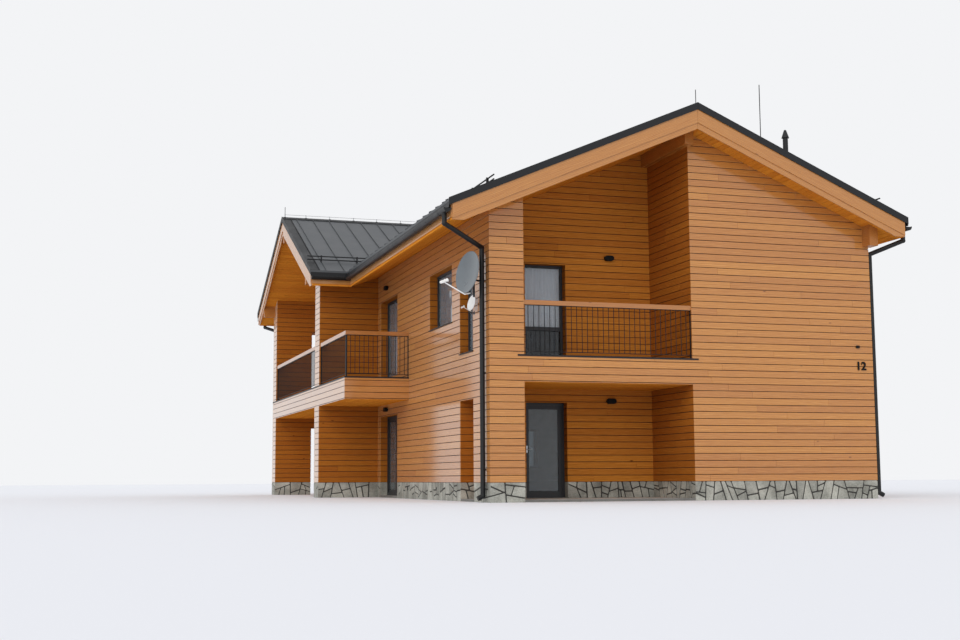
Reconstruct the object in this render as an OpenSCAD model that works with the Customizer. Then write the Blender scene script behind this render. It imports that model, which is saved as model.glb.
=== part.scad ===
// Alpine chalet: a two-storey house clad in horizontal boards on a stone plinth.
// The front gable holds a loggia on both storeys. The left side carries a long
// balcony between two wall fins, under a cross gable.
// Millimetres. X runs along the front, Y from front to back and Z up.
// The origin is on the ground under the middle of the main block.

/* [Main block] */
// Width of the main block
body_w = 8800; // [8000:100:10600]
// Length of the main block, front to back
body_l = 17600; // [16600:100:21200]
// Thickness of the outside walls
wall_t = 400; // [340:10:480]
// Height of the stone plinth
plinth_h = 390; // [300:10:500]
// Top of the ground floor slab
floor_h = 50; // [30:5:100]
// Height from one floor to the next
storey_h = 3040; // [2850:10:3400]
// Thickness of the upper floor
upper_floor_t = 300; // [220:10:340]

/* [Roof] */
// Top of the sheet cover at the left eave
eave_h = 5890; // [5850:10:6300]
// Slope of the main roof in degrees
roof_pitch = 23.4; // [21:0.1:25]
// Level of the cross ridge below the main ridge
cross_drop = 50; // [30:10:200]
// Roof edge beyond the left wall
eave_left = 1030; // [800:10:1200]
// Roof edge beyond the right wall
eave_right = 630; // [400:10:900]
// Roof edge beyond the front wall
verge_front = 635; // [500:5:900]
// Roof edge beyond both ends of the wing, along Y
cross_eave = 870; // [700:10:1000]
// Roof edge beyond the outer ends of the fins
cross_verge = 420; // [300:10:600]
// Thickness of the sheet cover with its battens, measured upright
cover_v = 50; // [40:5:80]
// Largest spacing of the standing seams
seam_p = 500; // [420:10:600]
// Height of a standing seam, measured upright
seam_v = 30; // [20:5:40]
// Thickness of the rafters and boards under it, measured upright
deck_v = 370; // [300:10:420]

/* [Roof edges] */
// Height of the upper bargeboard, measured upright
barge_v = 350; // [300:10:420]
// Height of the lower bargeboard, measured upright
barge_low_v = 130; // [90:10:180]
// Thickness of a bargeboard
barge_t = 45; // [35:5:60]
// Set-back of the lower bargeboard
barge_step = 18; // [10:1:25]
// Height of the eaves board
fascia_v = 320; // [240:10:340]
// Thickness of the eaves board
fascia_t = 30; // [20:5:40]
// Gutter radius
gutter_r = 80; // [60:5:90]
// Radius of a downpipe
pipe_r = 50; // [40:5:60]

/* [Loggia] */
// Width of the corner pier left of the loggia
pier_w = 710; // [550:10:900]
// Right edge of the loggia, from the left wall
loggia_x = 4460; // [4200:10:4700]
// Depth of the loggia
loggia_d = 2045; // [1700:5:2500]
// Underside of the loggia and balcony slabs
soffit_h = 2410; // [2300:10:2500]
// Top of the loggia and balcony slabs
deck_h = 2940; // [2850:10:3050]

/* [Wing] */
// Projection of the wing from the left wall
wing_w = 1600; // [1300:50:1950]
// Front face of the near fin
wing_y = 9700; // [9500:50:10200]
// Thickness of the fins
fin_t = 600; // [500:10:700]
// Near end of the balcony
balcony_y = 6400; // [6000:50:6800]
// Gap between the far fin's pier and the left wall
passage_w = 490; // [400:10:700]

/* [Doors and windows] */
// Height of a door opening above its floor
door_h = 2070; // [2000:10:2150]
// Width of a single door opening
door_w = 970; // [900:10:1050]
// Width of a double door or wide window opening
wide_w = 1850; // [1700:10:1950]
// Sill height of a window above its floor
sill_h = 770; // [600:10:1000]
// Depth from the wall face to a frame
reveal_d = 180; // [120:10:220]
// Width of a frame bar
frame_b = 65; // [50:5:80]
// Depth of a frame
frame_d = 80; // [70:5:95]
// Clearance round an opening door leaf
leaf_gap = 10; // [8:1:14]
// Left edge of the loggia doors
loggia_door_x = 1460; // [1300:10:1700]
// Near edge of the side entrance
entry_y = 1080; // [950:10:1300]
// Near edge of the wide upper window
window_y = 2630; // [2500:10:2900]
// Near edge of the balcony doors
side_door_y = 7550; // [7300:10:7800]

/* [Railings] */
// Top of the handrails above the slabs
rail_h = 1115; // [1000:5:1200]
// Height of a handrail
handrail_v = 95; // [60:5:110]
// Width of a handrail
handrail_w = 70; // [50:5:90]
// Diameter of a baluster
baluster_d = 14; // [10:1:20]
// Largest spacing of the balusters
baluster_p = 120; // [100:5:130]

/* [Hidden] */

$fn = 32;
EPS = 1;
TALL = 12000;

mid_x = body_w / 2;
upper_h = floor_h + storey_h;
wing_l = body_l - wing_y;
cross_y = wing_y + wing_l / 2;
roof_v = cover_v + deck_v;
main_t = tan(roof_pitch);
x_left = -eave_left;
eave_z = eave_h;
ridge_h = eave_z + main_t * (mid_x + eave_left);
cross_ridge_h = ridge_h - cross_drop;
x_right = body_w + eave_right;
x_wing = -wing_w - cross_verge;
y_front = -verge_front;
y_near = wing_y - cross_eave;
y_back = body_l + cross_eave;
cross_t = (cross_ridge_h - eave_z) / (cross_y - y_near);
// Where the cross ridge runs into the main slope
x_meet = mid_x - cross_drop / main_t;

function main_top(x) = ridge_h - main_t * abs(x - mid_x);
function cross_top(y) = cross_ridge_h - cross_t * abs(y - cross_y);

door_head = floor_h + door_h;
upper_head = upper_h + door_h;
wall_in = wall_t;
room_x = body_w - wall_t;
room_y = body_l - wall_t;
loggia_back = loggia_d + wall_t;
loggia_side = loggia_x + wall_t;
fin_far_y = body_l - fin_t;
entry = [entry_y, entry_y + door_w];
side_door = [side_door_y, side_door_y + wide_w];
wide_window = [window_y, window_y + wide_w];
// The bay between the fins has one wide glazed opening on each storey
bay_mid = (wing_y + fin_t + fin_far_y) / 2;
bay_window = [bay_mid - wide_w / 2, bay_mid + wide_w / 2];
// Windows of the two sides that repeat the storeys: centres along the wall
right_centres = [body_l * 0.2, body_l * 0.5, body_l * 0.8];
back_centres = [body_w * 0.28, body_w * 0.72];
// Openings as near edge, far edge, bottom and top
left_upper_fixed = [
    [entry[0], entry[1], upper_h, upper_head],
    [wide_window[0], wide_window[1], upper_h + sill_h, upper_head],
    [side_door[0], side_door[1], upper_h, upper_head],
    [bay_window[0], bay_window[1], upper_h, upper_head]];
left_lower_fixed = [[bay_window[0], bay_window[1], floor_h, door_head]];
right_windows = [for (c = right_centres) for (f = [floor_h, upper_h])
    [c - wide_w / 2, c + wide_w / 2, f + sill_h, f + door_h]];
back_windows = [for (c = back_centres) for (f = [floor_h, upper_h])
    [c - wide_w / 2, c + wide_w / 2, f + sill_h, f + door_h]];
loggia_door = [loggia_door_x, loggia_door_x + door_w];

// Sets the plan, drawn from the front left corner, about the origin
module site() {
    translate([-body_w / 2, -body_l / 2, 0]) children();
}

// Gap of a mitred joint
mitre = 2;
module block(low, high) {
    translate(low) cube(high - low);
}

// Draws a profile given in X and Z, extruded from y0 to y1
module along_y(y0, y1) {
    translate([0, y1, 0]) rotate([90, 0, 0]) linear_extrude(y1 - y0) children();
}

// Draws a profile given in Y and Z, extruded from x0 to x1
module along_x(x0, x1) {
    translate([x0, 0, 0]) rotate([90, 0, 90]) linear_extrude(x1 - x0) children();
}

// The space under each roof's underside, which trims every wall
module main_space() {
    along_y(y_front, y_back)
        polygon([[x_left, 0], [x_right, 0], [x_right, main_top(x_right) - roof_v],
            [mid_x, ridge_h - roof_v], [x_left, main_top(x_left) - roof_v]]);
}

module cross_space(drop) {
    along_x(x_wing, mid_x)
        polygon([[y_near, 0], [y_back, 0], [y_back, cross_top(y_back) - drop],
            [cross_y, cross_ridge_h - drop], [y_near, cross_top(y_near) - drop]]);
}

module under_roof() {
    main_space();
    cross_space(roof_v);
}

// Plan of each roof slope out to the edge of the cover
left_plan = [[mid_x, y_front], [mid_x, cross_y], [x_meet, cross_y], [x_left, y_near], [x_left, y_front]];
left_back_plan = [[mid_x, cross_y], [mid_x, y_back], [x_left, y_back], [x_meet, cross_y]];
right_plan = [[mid_x, y_front], [x_right, y_front], [x_right, y_back], [mid_x, y_back]];
cross_near_plan = [[x_wing, y_near], [x_left, y_near], [x_meet, cross_y], [x_wing, cross_y]];
cross_far_plan = [[x_wing, cross_y], [x_meet, cross_y], [x_left, y_back], [x_wing, y_back]];

// A layer of a main slope between two upright depths under the roof's top
module main_layer(side, top, low, y0 = y_front, y1 = y_back) {
    edge = side < 0 ? x_left : x_right;
    along_y(y0, y1)
        polygon([[mid_x, ridge_h - low], [edge, main_top(edge) - low],
            [edge, main_top(edge) - top], [mid_x, ridge_h - top]]);
}

module cross_layer(side, top, low, x0 = x_wing, x1 = mid_x) {
    edge = side < 0 ? y_near : y_back;
    along_x(x0, x1)
        polygon([[cross_y, cross_ridge_h - low], [edge, cross_top(edge) - low],
            [edge, cross_top(edge) - top], [cross_y, cross_ridge_h - top]]);
}

// The roof's outline in plan, drawn in at the verges and at the eaves
barge_set = 15;
fascia_set = 60;
deck_verge = barge_set + barge_t;
deck_eave = fascia_set + fascia_t;
module outline(verge_in, eave_in) {
    linear_extrude(TALL) {
        translate([x_left + eave_in, y_front + verge_in])
            square([x_right - x_left - 2 * eave_in, y_back - y_front - 2 * verge_in]);
        translate([x_wing + verge_in, y_near + eave_in])
            square([mid_x - x_wing - verge_in, y_back - y_near - 2 * eave_in]);
    }
}

module slope(plan) {
    intersection() {
        linear_extrude(TALL) polygon(plan);
        children();
    }
}

module deck(plan) {
    intersection() {
        outline(deck_verge, deck_eave);
        slope(plan) children();
    }
}

module ground_slab() color("silver") site() {
    linear_extrude(floor_h) polygon([
        [wall_in, loggia_back], [loggia_side, loggia_back], [loggia_side, wall_in],
        [room_x, wall_in], [room_x, room_y], [wall_in, room_y]]);
}

module loggia_paving() color("lightgray") site() {
    linear_extrude(floor_h) polygon([[pier_w, 0], [loggia_x, 0], [loggia_x, loggia_d], [wall_in, loggia_d],
        [wall_in, wall_t], [pier_w, wall_t]]);
}

// Stone thresholds under the ground floor doors and glazing
module thresholds() color("silver") site() {
    for (o = [entry, side_door, bay_window]) block([0, o[0], 0], [wall_t, o[1], floor_h]);
    block([loggia_door[0], loggia_d, 0], [loggia_door[1], loggia_back, floor_h]);
}

// Plinth stretches that run along X
module plinths_across() color("gainsboro") site() {
    block([0, 0, 0], [pier_w, wall_t, plinth_h]);
    block([loggia_x, 0, 0], [body_w, wall_t, plinth_h]);
    block([wall_in, loggia_d, 0], [loggia_door[0], loggia_back, plinth_h]);
    block([loggia_door[1], loggia_d, 0], [loggia_x, loggia_back, plinth_h]);
    block([0, room_y, 0], [body_w, body_l, plinth_h]);
    block([-wing_w, wing_y, 0], [0, wing_y + fin_t, plinth_h]);
    block([-wing_w, fin_far_y, 0], [-passage_w, body_l, plinth_h]);
}

// Stretches of the left wall between its ground floor openings
left_stretches = [[wall_t, entry[0]], [entry[1], side_door[0]], [side_door[1], bay_window[0]],
    [bay_window[1], room_y]];
// Plinth stretches that run along Y
module plinths_along() color("gainsboro") site() {
    for (s = left_stretches) block([0, s[0], 0], [wall_t, s[1], plinth_h]);
    block([loggia_x, wall_t, 0], [loggia_side, loggia_back, plinth_h]);
    block([room_x, wall_t, 0], [body_w, room_y, plinth_h]);
}

module timber_wall(low, high) {
    intersection() {
        block(low, high);
        under_roof();
    }
}

purlin_w = 200;
eaves_purlin_w = 160;
ridge_purlin_low = ridge_h - 760;
ridge_purlin_out = 200;
right_purlin = [body_w - 140, body_w + 70];
right_purlin_low = eave_z - 390;
right_purlin_out = 300;
ridge_purlin = [mid_x - purlin_w / 2, mid_x + purlin_w / 2];

module front_wall() color("peru") site() {
    timber_wall([0, 0, plinth_h], [pier_w, wall_t, TALL]);
    difference() {
        timber_wall([loggia_x, 0, plinth_h], [body_w, wall_t, TALL]);
        block([ridge_purlin[0], -EPS, ridge_purlin_low], [ridge_purlin[1], wall_t + EPS, TALL]);
    }
}

module loggia_wall_lower() color("peru") site() {
    block([wall_in, loggia_d, plinth_h], [loggia_door[0], loggia_back, door_head]);
    block([loggia_door[1], loggia_d, plinth_h], [loggia_x, loggia_back, door_head]);
}

module loggia_wall_upper() color("peru") site() {
    difference() {
        timber_wall([wall_in, loggia_d, door_head], [loggia_x, loggia_back, TALL]);
        block([loggia_door[0], 0, upper_h], [loggia_door[1], body_l, upper_head]);
    }
}

module loggia_side_wall() color("peru") site() {
    difference() {
        timber_wall([loggia_x, wall_t, plinth_h], [loggia_side, loggia_back, TALL]);
        block([ridge_purlin[0], 0, ridge_purlin_low], [ridge_purlin[1], loggia_d, TALL]);
    }
}

module left_wall_lower() color("peru") site() {
    for (s = left_stretches) block([0, s[0], plinth_h], [wall_t, s[1], door_head]);
}

module left_wall_upper() color("peru") site() {
    difference() {
        intersection() {
            block([0, wall_t, door_head], [wall_t, room_y, TALL]);
            main_space();
        }
        for (o = left_upper_fixed) block([-EPS, o[0], o[2]], [wall_t + EPS, o[1], o[3]]);
    }
}

// The left wall's part above the main eaves, inside the cross roof
module left_wall_gable() color("peru") site() {
    difference() {
        intersection() {
            block([0, wall_t, door_head], [wall_t, room_y, TALL]);
            cross_space(roof_v);
        }
        main_space();
    }
}

module right_wall() color("peru") site() {
    difference() {
        timber_wall([room_x, wall_t, plinth_h], [body_w, room_y, TALL]);
        for (o = right_windows) block([room_x - EPS, o[0], o[2]], [body_w + EPS, o[1], o[3]]);
    }
}

module back_wall() color("peru") site() {
    difference() {
        timber_wall([0, room_y, plinth_h], [body_w, body_l, TALL]);
        for (o = back_windows) block([o[0], room_y - EPS, o[2]], [o[1], body_l + EPS, o[3]]);
    }
}

// Each fin stands in two lengths, under and over the balcony slab
passage_head = [door_head, upper_head];
module fins() color("peru") site() {
    block([-wing_w, wing_y, plinth_h], [0, wing_y + fin_t, soffit_h]);
    timber_wall([-wing_w, wing_y, deck_h], [0, wing_y + fin_t, TALL]);
    block([-wing_w, fin_far_y, plinth_h], [-passage_w, body_l, soffit_h]);
    timber_wall([-wing_w, fin_far_y, deck_h], [-passage_w, body_l, TALL]);
}

module far_fin_lintels() color("peru") site() {
    block([-passage_w, fin_far_y, passage_head[0]], [0, body_l, soffit_h]);
    timber_wall([-passage_w, fin_far_y, passage_head[1]], [0, body_l, TALL]);
}

module upper_floor_main() color("burlywood") site() {
    block([wall_in, loggia_back, upper_h - upper_floor_t], [room_x, room_y, upper_h]);
}

module upper_floor_front() color("burlywood") site() {
    block([loggia_side, wall_in, upper_h - upper_floor_t], [room_x, loggia_back, upper_h]);
}

module loggia_slab() color("peru") site() {
    translate([0, 0, soffit_h]) linear_extrude(deck_h - soffit_h)
        polygon([[pier_w, 0], [loggia_x, 0], [loggia_x, loggia_d], [wall_in, loggia_d], [wall_in, wall_t],
            [pier_w, wall_t]]);
}

module balcony_slab() color("peru") site() {
    block([-wing_w, balcony_y, soffit_h], [0, body_l, deck_h]);
}

// Folded metal caps along the top edges of the slabs
flashing_t = 6;
flashing_lip = 30;
flashing_lap = 130;
flashing_w = 60;
flashing_out = 18;
module slab_flashings() color("dimgray") site() {
    lap = [pier_w - flashing_lap, loggia_x + flashing_lap];
    block([lap[0], -flashing_out, deck_h - flashing_lip], [lap[1], 0, deck_h + flashing_t]);
    block([pier_w, 0, deck_h], [loggia_x, flashing_w, deck_h + flashing_t]);
    difference() {
        block([-wing_w - flashing_out, balcony_y - flashing_out, deck_h - flashing_lip],
            [0, body_l, deck_h + flashing_t]);
        block([-wing_w, balcony_y, 0], [EPS, body_l + EPS, deck_h]);
        block([-wing_w + flashing_w, balcony_y + flashing_w, 0], [EPS, body_l + EPS, TALL]);
        block([-wing_w, wing_y, 0], [0, wing_y + fin_t, TALL]);
        block([-wing_w, fin_far_y, 0], [0, body_l + EPS, TALL]);
    }
}

module roof_deck_left() color("chocolate") site() {
    deck(left_plan) main_layer(-1, cover_v, roof_v);
}

module roof_deck_left_back() color("chocolate") site() {
    deck(left_back_plan) main_layer(-1, cover_v, roof_v);
}

module roof_deck_right() color("chocolate") site() {
    deck(right_plan) main_layer(1, cover_v, roof_v);
}

module cross_deck_near() color("chocolate") site() {
    deck(cross_near_plan) cross_layer(-1, cover_v, roof_v);
}

module cross_deck_far() color("chocolate") site() {
    deck(cross_far_plan) cross_layer(1, cover_v, roof_v);
}

// Standing seams run down each slope, clear of the ridge caps and the valleys
cap_w = 170;
cap_t = 25;
seam_w = 10;
valley_w = 110;
valley_slope = (cross_y - y_near) / (x_meet - x_left);
main_bays = ceil((y_back - y_front) / seam_p);
main_seams = [for (i = [1 : main_bays - 1]) y_front + i * (y_back - y_front) / main_bays];
cross_seam_in = 410;
cross_seams = [for (x = [x_wing + cross_seam_in : seam_p * 0.97 : x_meet - cap_w]) x];
// Where a seam's plan stops: a line beside the valley, at a distance along Y
function valley_x(y, off) = x_left + (y - off - y_near) / valley_slope;
seam_stop = mid_x - cap_w;
seam_y = cross_y - valley_w;
seam_end = min(valley_x(seam_y, -valley_w), seam_stop);
left_seam_plan = [[seam_stop, y_front], [seam_stop, seam_y], [seam_end, seam_y], [x_left, y_near - valley_w],
    [x_left, y_front]];
left_back_seam_plan = [[seam_stop, cross_y + valley_w], [seam_stop, y_back],
    [valley_x(y_near, -valley_w), y_back], [seam_end, cross_y + valley_w]];
right_seam_plan = [[mid_x + cap_w, y_front], [x_right, y_front], [x_right, y_back], [mid_x + cap_w, y_back]];
cross_near_seam_plan = [[x_wing, y_near], [valley_x(y_near, valley_w), y_near],
    [valley_x(cross_y - cap_w, valley_w), cross_y - cap_w], [x_wing, cross_y - cap_w]];
cross_far_seam_plan = [for (p = cross_near_seam_plan) [p[0], 2 * cross_y - p[1]]];
module main_cover(side, plan, seam_plan) {
    slope(plan) main_layer(side, 0, cover_v);
    slope(seam_plan) for (y = main_seams) main_layer(side, -seam_v, EPS, y - seam_w / 2, y + seam_w / 2);
}

module cross_cover(side, plan, seam_plan) {
    slope(plan) cross_layer(side, 0, cover_v);
    slope(seam_plan) for (x = cross_seams) cross_layer(side, -seam_v, EPS, x - seam_w / 2, x + seam_w / 2);
}

module roof_cover_left() color("darkslategray") site() {
    main_cover(-1, left_plan, left_seam_plan);
}

module roof_cover_left_back() color("darkslategray") site() {
    main_cover(-1, left_back_plan, left_back_seam_plan);
}

module roof_cover_right() color("darkslategray") site() {
    main_cover(1, right_plan, right_seam_plan);
}

module cross_cover_near() color("darkslategray") site() {
    cross_cover(-1, cross_near_plan, cross_near_seam_plan);
}

module cross_cover_far() color("darkslategray") site() {
    cross_cover(1, cross_far_plan, cross_far_seam_plan);
}

// Ridge caps sit over the covers as shallow folded roofs
// A cap's section over a ridge, from the tops at its edges and its middle. It
// rests on the covers along its two edges and stands a little off them between.
cap_foot = 15;
cap_lift = 4;
cap_seat = 0.02;
module cap(mid, edge_z, mid_z) {
    low = edge_z + cap_seat;
    foot_z = low + (mid_z - edge_z) * cap_foot / cap_w;
    half = cap_w - cap_foot;
    polygon([
        [mid - cap_w, low], [mid - half, foot_z], [mid - half, foot_z + cap_lift], [mid, mid_z + cap_lift],
        [mid + half, foot_z + cap_lift], [mid + half, foot_z], [mid + cap_w, low],
        [mid + cap_w, edge_z + cap_t], [mid, mid_z + cap_t], [mid - cap_w, edge_z + cap_t]]);
}

module ridge_caps() color("darkslategray") site() {
    difference() {
        along_y(y_front, y_back) cap(mid_x, main_top(mid_x - cap_w), ridge_h);
        cross_space(0);
    }
    along_x(x_wing, x_meet - cap_w - 2 * cap_t) cap(cross_y, cross_top(cross_y - cap_w), cross_ridge_h);
}

// A bargeboard pair of one slope: a wide upper board with a lower board set
// back under it, plumb at its outer end and with the low corner cut level
barge_end = 80;
barge_cut = 100;
barge_low = cover_v + barge_v + barge_low_v;
module main_barge(side, face) {
    edge = side < 0 ? x_left + barge_end : x_right - barge_end;
    inward = face < mid_x ? 1 : -1;
    level = main_top(edge) - barge_low + barge_cut;
    y_out = inward > 0 ? face : face - barge_t;
    y_step = inward > 0 ? face + barge_step : face - barge_t;
    ends = side < 0 ? [x_left - EPS, edge] : [edge, x_right + EPS];
    difference() {
        union() {
            main_layer(side, cover_v, cover_v + barge_v, y_out, y_out + barge_t);
            main_layer(side, cover_v, barge_low, y_step, y_step + barge_t - barge_step);
        }
        block([ends[0], y_front - EPS, 0], [ends[1], y_back + EPS, TALL]);
        block([x_left - EPS, y_front - EPS, 0], [x_right + EPS, y_back + EPS, level]);
        block([mid_x - mitre, y_front - EPS, 0], [mid_x + mitre, y_back + EPS, TALL]);
    }
}

module cross_barge(side) {
    face = x_wing + barge_set;
    edge = side < 0 ? y_near + barge_end : y_back - barge_end;
    level = cross_top(edge) - barge_low + barge_cut;
    difference() {
        union() {
            cross_layer(side, cover_v, cover_v + barge_v, face, face + barge_t);
            cross_layer(side, cover_v, barge_low, face + barge_step, face + barge_t);
        }
        block([x_wing - EPS, side < 0 ? y_near - EPS : edge, 0],
            [mid_x, side < 0 ? edge : y_back + EPS, TALL]);
        block([x_wing - EPS, y_near - EPS, 0], [mid_x, y_back + EPS, level]);
        block([x_wing - EPS, cross_y - mitre, 0], [mid_x, cross_y + mitre, TALL]);
    }
}

module bargeboards() color("burlywood") site() {
    for (side = [-1, 1]) {
        main_barge(side, y_front + barge_set);
        intersection() {
            main_barge(side, y_back - barge_set);
            block([x_left + deck_eave, 0, 0], [x_right, y_back, TALL]);
        }
        cross_barge(side);
    }
}

// Upright boards along the eaves, behind the gutters
module eaves_boards() color("tan") site() {
    left_top = main_top(x_left + fascia_set) - cover_v;
    right_top = main_top(x_right - fascia_set) - cover_v;
    cross_top_z = cross_top(y_near + fascia_set) - cover_v;
    block([x_left + fascia_set, y_front + deck_verge, left_top - fascia_v],
        [x_left + deck_eave, y_near + fascia_set - mitre, left_top]);
    block([x_right - deck_eave, y_front + deck_verge, right_top - fascia_v],
        [x_right - fascia_set, y_back - deck_verge, right_top]);
    block([x_wing + deck_verge, y_near + fascia_set, cross_top_z - fascia_v],
        [x_left + deck_eave, y_near + deck_eave, cross_top_z]);
    block([x_wing + deck_verge, y_back - deck_eave, cross_top_z - fascia_v],
        [x_left + deck_eave, y_back - fascia_set, cross_top_z]);
}

// Folded metal along the verges: an upright lip and a strip on the cover
verge_t = 8;
verge_up = 32;
verge_drop = 120;
verge_w = 240;
module main_verge_end(side, y, out) {
    lip = out > 0 ? [y, y + verge_t] : [y - verge_t, y];
    strip = out > 0 ? [y - verge_w, y + verge_t] : [y - verge_t, y + verge_w];
    rib = out > 0 ? [y - verge_w, y - verge_w + seam_w] : [y + verge_w - seam_w, y + verge_w];
    main_layer(side, -verge_up, verge_drop, lip[0], lip[1]);
    main_layer(side, -verge_t, 0, strip[0], strip[1]);
    main_layer(side, -verge_up, 0, rib[0], rib[1]);
}

// The rear end of the left slope's strip stops before the cross roof's gutter
module main_verge(side) {
    difference() {
        union() {
            main_verge_end(side, y_front, -1);
            main_verge_end(side, y_back, 1);
        }
        block([mid_x - mitre, y_front - 2 * verge_t, 0], [mid_x + mitre, y_back + 2 * verge_t, TALL]);
        block([mid_x - cap_w, y_front, 0], [mid_x + cap_w, y_back, TALL]);
        block([x_left - EPS, y_back - 2 * verge_w, 0],
            [x_left + verge_w / valley_slope, y_back + 2 * verge_t, TALL]);
    }
}

// Upright aprons that hang from the covers' edges into the gutters
apron_set = 2;
apron_t = 6;
apron_gap = 15;
apron_seat = 0.05;
apron_corner = 8;
module eaves_aprons() {
    low = gutter_z + apron_gap;
    left = x_left + apron_set;
    right = x_right - apron_set;
    near = y_near + apron_set;
    far = y_back - apron_set;
    wing = [x_wing + apron_set, x_left - apron_corner];
    intersection() {
        main_layer(-1, cover_v + apron_seat, TALL / 2);
        block([left, y_front + apron_set, low], [left + apron_t, y_near - apron_corner, TALL]);
    }
    intersection() {
        main_layer(1, cover_v + apron_seat, TALL / 2);
        block([right - apron_t, y_front + apron_set, low - right_gutter_drop],
            [right, y_back - apron_set, TALL]);
    }
    intersection() {
        cross_layer(-1, cover_v + apron_seat, TALL / 2);
        block([wing[0], near, low], [wing[1], near + apron_t, TALL]);
    }
    intersection() {
        cross_layer(1, cover_v + apron_seat, TALL / 2);
        block([wing[0], far - apron_t, low], [wing[1], far, TALL]);
    }
}

module cross_verge_strip(side) {
    difference() {
        union() {
            cross_layer(side, -verge_up, verge_drop, x_wing - verge_t, x_wing);
            cross_layer(side, -verge_t, 0, x_wing - verge_t, x_wing + verge_w);
            cross_layer(side, -verge_up, 0, x_wing + verge_w - seam_w, x_wing + verge_w);
        }
        block([x_wing - 2 * verge_t, cross_y - mitre, 0], [mid_x, cross_y + mitre, TALL]);
        block([x_wing, cross_y - cap_w, 0], [mid_x, cross_y + cap_w, TALL]);
    }
}

module verge_flashings() color("dimgray") site() {
    for (side = [-1, 1]) {
        main_verge(side);
        cross_verge_strip(side);
    }
    eaves_aprons();
}

module purlin(low, high) {
    intersection() {
        block(low, high);
        under_roof();
    }
}

cross_purlin_low = eave_z - 230;
cross_ridge_purlin_low = cross_ridge_h - 760;
cross_purlin_in = 120;
module purlins() color("peru") site() {
    purlin([ridge_purlin[0], -ridge_purlin_out, ridge_purlin_low], [ridge_purlin[1], loggia_d, TALL]);
    purlin([ridge_purlin[0], body_l, ridge_purlin_low], [ridge_purlin[1], body_l + ridge_purlin_out, TALL]);
    for (y = [[-right_purlin_out, 0], [body_l, body_l + right_purlin_out]])
        purlin([right_purlin[0], y[0], right_purlin_low], [right_purlin[1], y[1], TALL]);
    purlin([x_wing + deck_verge, cross_y - purlin_w / 2, cross_ridge_purlin_low],
        [0, cross_y + purlin_w / 2, TALL]);
    for (y = [wing_y + cross_purlin_in, body_l - cross_purlin_in - eaves_purlin_w])
        purlin([x_wing + deck_verge, y, cross_purlin_low], [-wing_w, y + eaves_purlin_w, TALL]);
}

// Half-round gutters with closed ends, hung on the eaves boards
gutter_t = 4;
gutter_low = 120;
gutter_z = eave_z - cover_v - gutter_low;
gutter_out = gutter_r - fascia_set;
gutter_in = 20;
gutter_gap = 5;
module gutter_section(full) {
    difference() {
        circle(gutter_r);
        if (!full) circle(gutter_r - gutter_t);
        translate([-2 * gutter_r, 0]) square(4 * gutter_r);
    }
}

module gutter(length) {
    linear_extrude(length) gutter_section(false);
    linear_extrude(gutter_t) gutter_section(true);
    translate([0, 0, length - gutter_t]) linear_extrude(gutter_t) gutter_section(true);
}

module gutter_y(x, y0, y1) {
    translate([x, y1, gutter_z]) rotate([90, 0, 0]) gutter(y1 - y0);
}

module gutter_x(y, x0, x1) {
    translate([x0, y, gutter_z]) rotate([90, 0, 90]) gutter(x1 - x0);
}

right_gutter_drop = main_top(x_left) - main_top(x_right);
module gutters() color("dimgray") site() {
    gutter_y(x_left - gutter_out, y_front + gutter_in, y_near - gutter_out - gutter_r - gutter_gap);
    translate([0, 0, -right_gutter_drop])
        gutter_y(x_right + gutter_out, y_front + gutter_in, y_back - gutter_in);
    gutter_x(y_near - gutter_out, x_wing + gutter_in, x_left + fascia_set);
    gutter_x(y_back + gutter_out, x_wing + gutter_in, x_left + fascia_set);
}

module rod(a, b, r) {
    d = b - a;
    translate(a) rotate([0, acos(d[2] / norm(d)), atan2(d[1], d[0])]) cylinder(h = norm(d), r = r);
}

module pipe_run(points, r) {
    for (i = [0 : len(points) - 2]) {
        rod(points[i], points[i + 1], r);
        if (i > 0) translate(points[i]) sphere(r * 1.08);
    }
}

// A downpipe: outlet under the gutter, slanting neck, long drop and shoe.
// The shoe and the brackets point away from the wall, along a unit vector.
pipe_off = 30;
pipe_drop = 230;
// Fall of the necks along their run, on the left and on the right
neck_fall_left = 0.28;
neck_fall_right = 0.36;
shoe_z = 130;
shoe_l = 110;
bracket_v = 30;
module downpipe(start, wall_x, wall_y, away, neck_fall) {
    foot = [wall_x, wall_y] + (pipe_r + pipe_off) * away;
    run = norm([foot[0] - start[0], foot[1] - start[1]]);
    low = start[2] - pipe_drop - neck_fall * run;
    shoe = [foot[0] + away[0] * shoe_l, foot[1] + away[1] * shoe_l, shoe_z - shoe_l / 2];
    pipe_run([start, start - [0, 0, pipe_drop], [foot[0], foot[1], low], [foot[0], foot[1], shoe_z], shoe],
        pipe_r);
    for (z = [shoe_z + 500, low / 2, low - 300])
        translate([wall_x, wall_y, z])
            linear_extrude(bracket_v)
                polygon([for (s = [[0, -1], [pipe_off + pipe_r / 2, -1], [pipe_off + pipe_r / 2, 1], [0, 1]])
                    s[0] * away + s[1] * bracket_v / 2 * [away[1], away[0]]]);
}

left_pipe_y = 260;
right_pipe_y = 60;
outlet_y = y_front + 250;
outlet_z = gutter_z - gutter_r / 2;
far_pipe_x = -wing_w + 250;
right_outlet_z = outlet_z - right_gutter_drop;
back_pipe_y = body_l - left_pipe_y;
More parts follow.
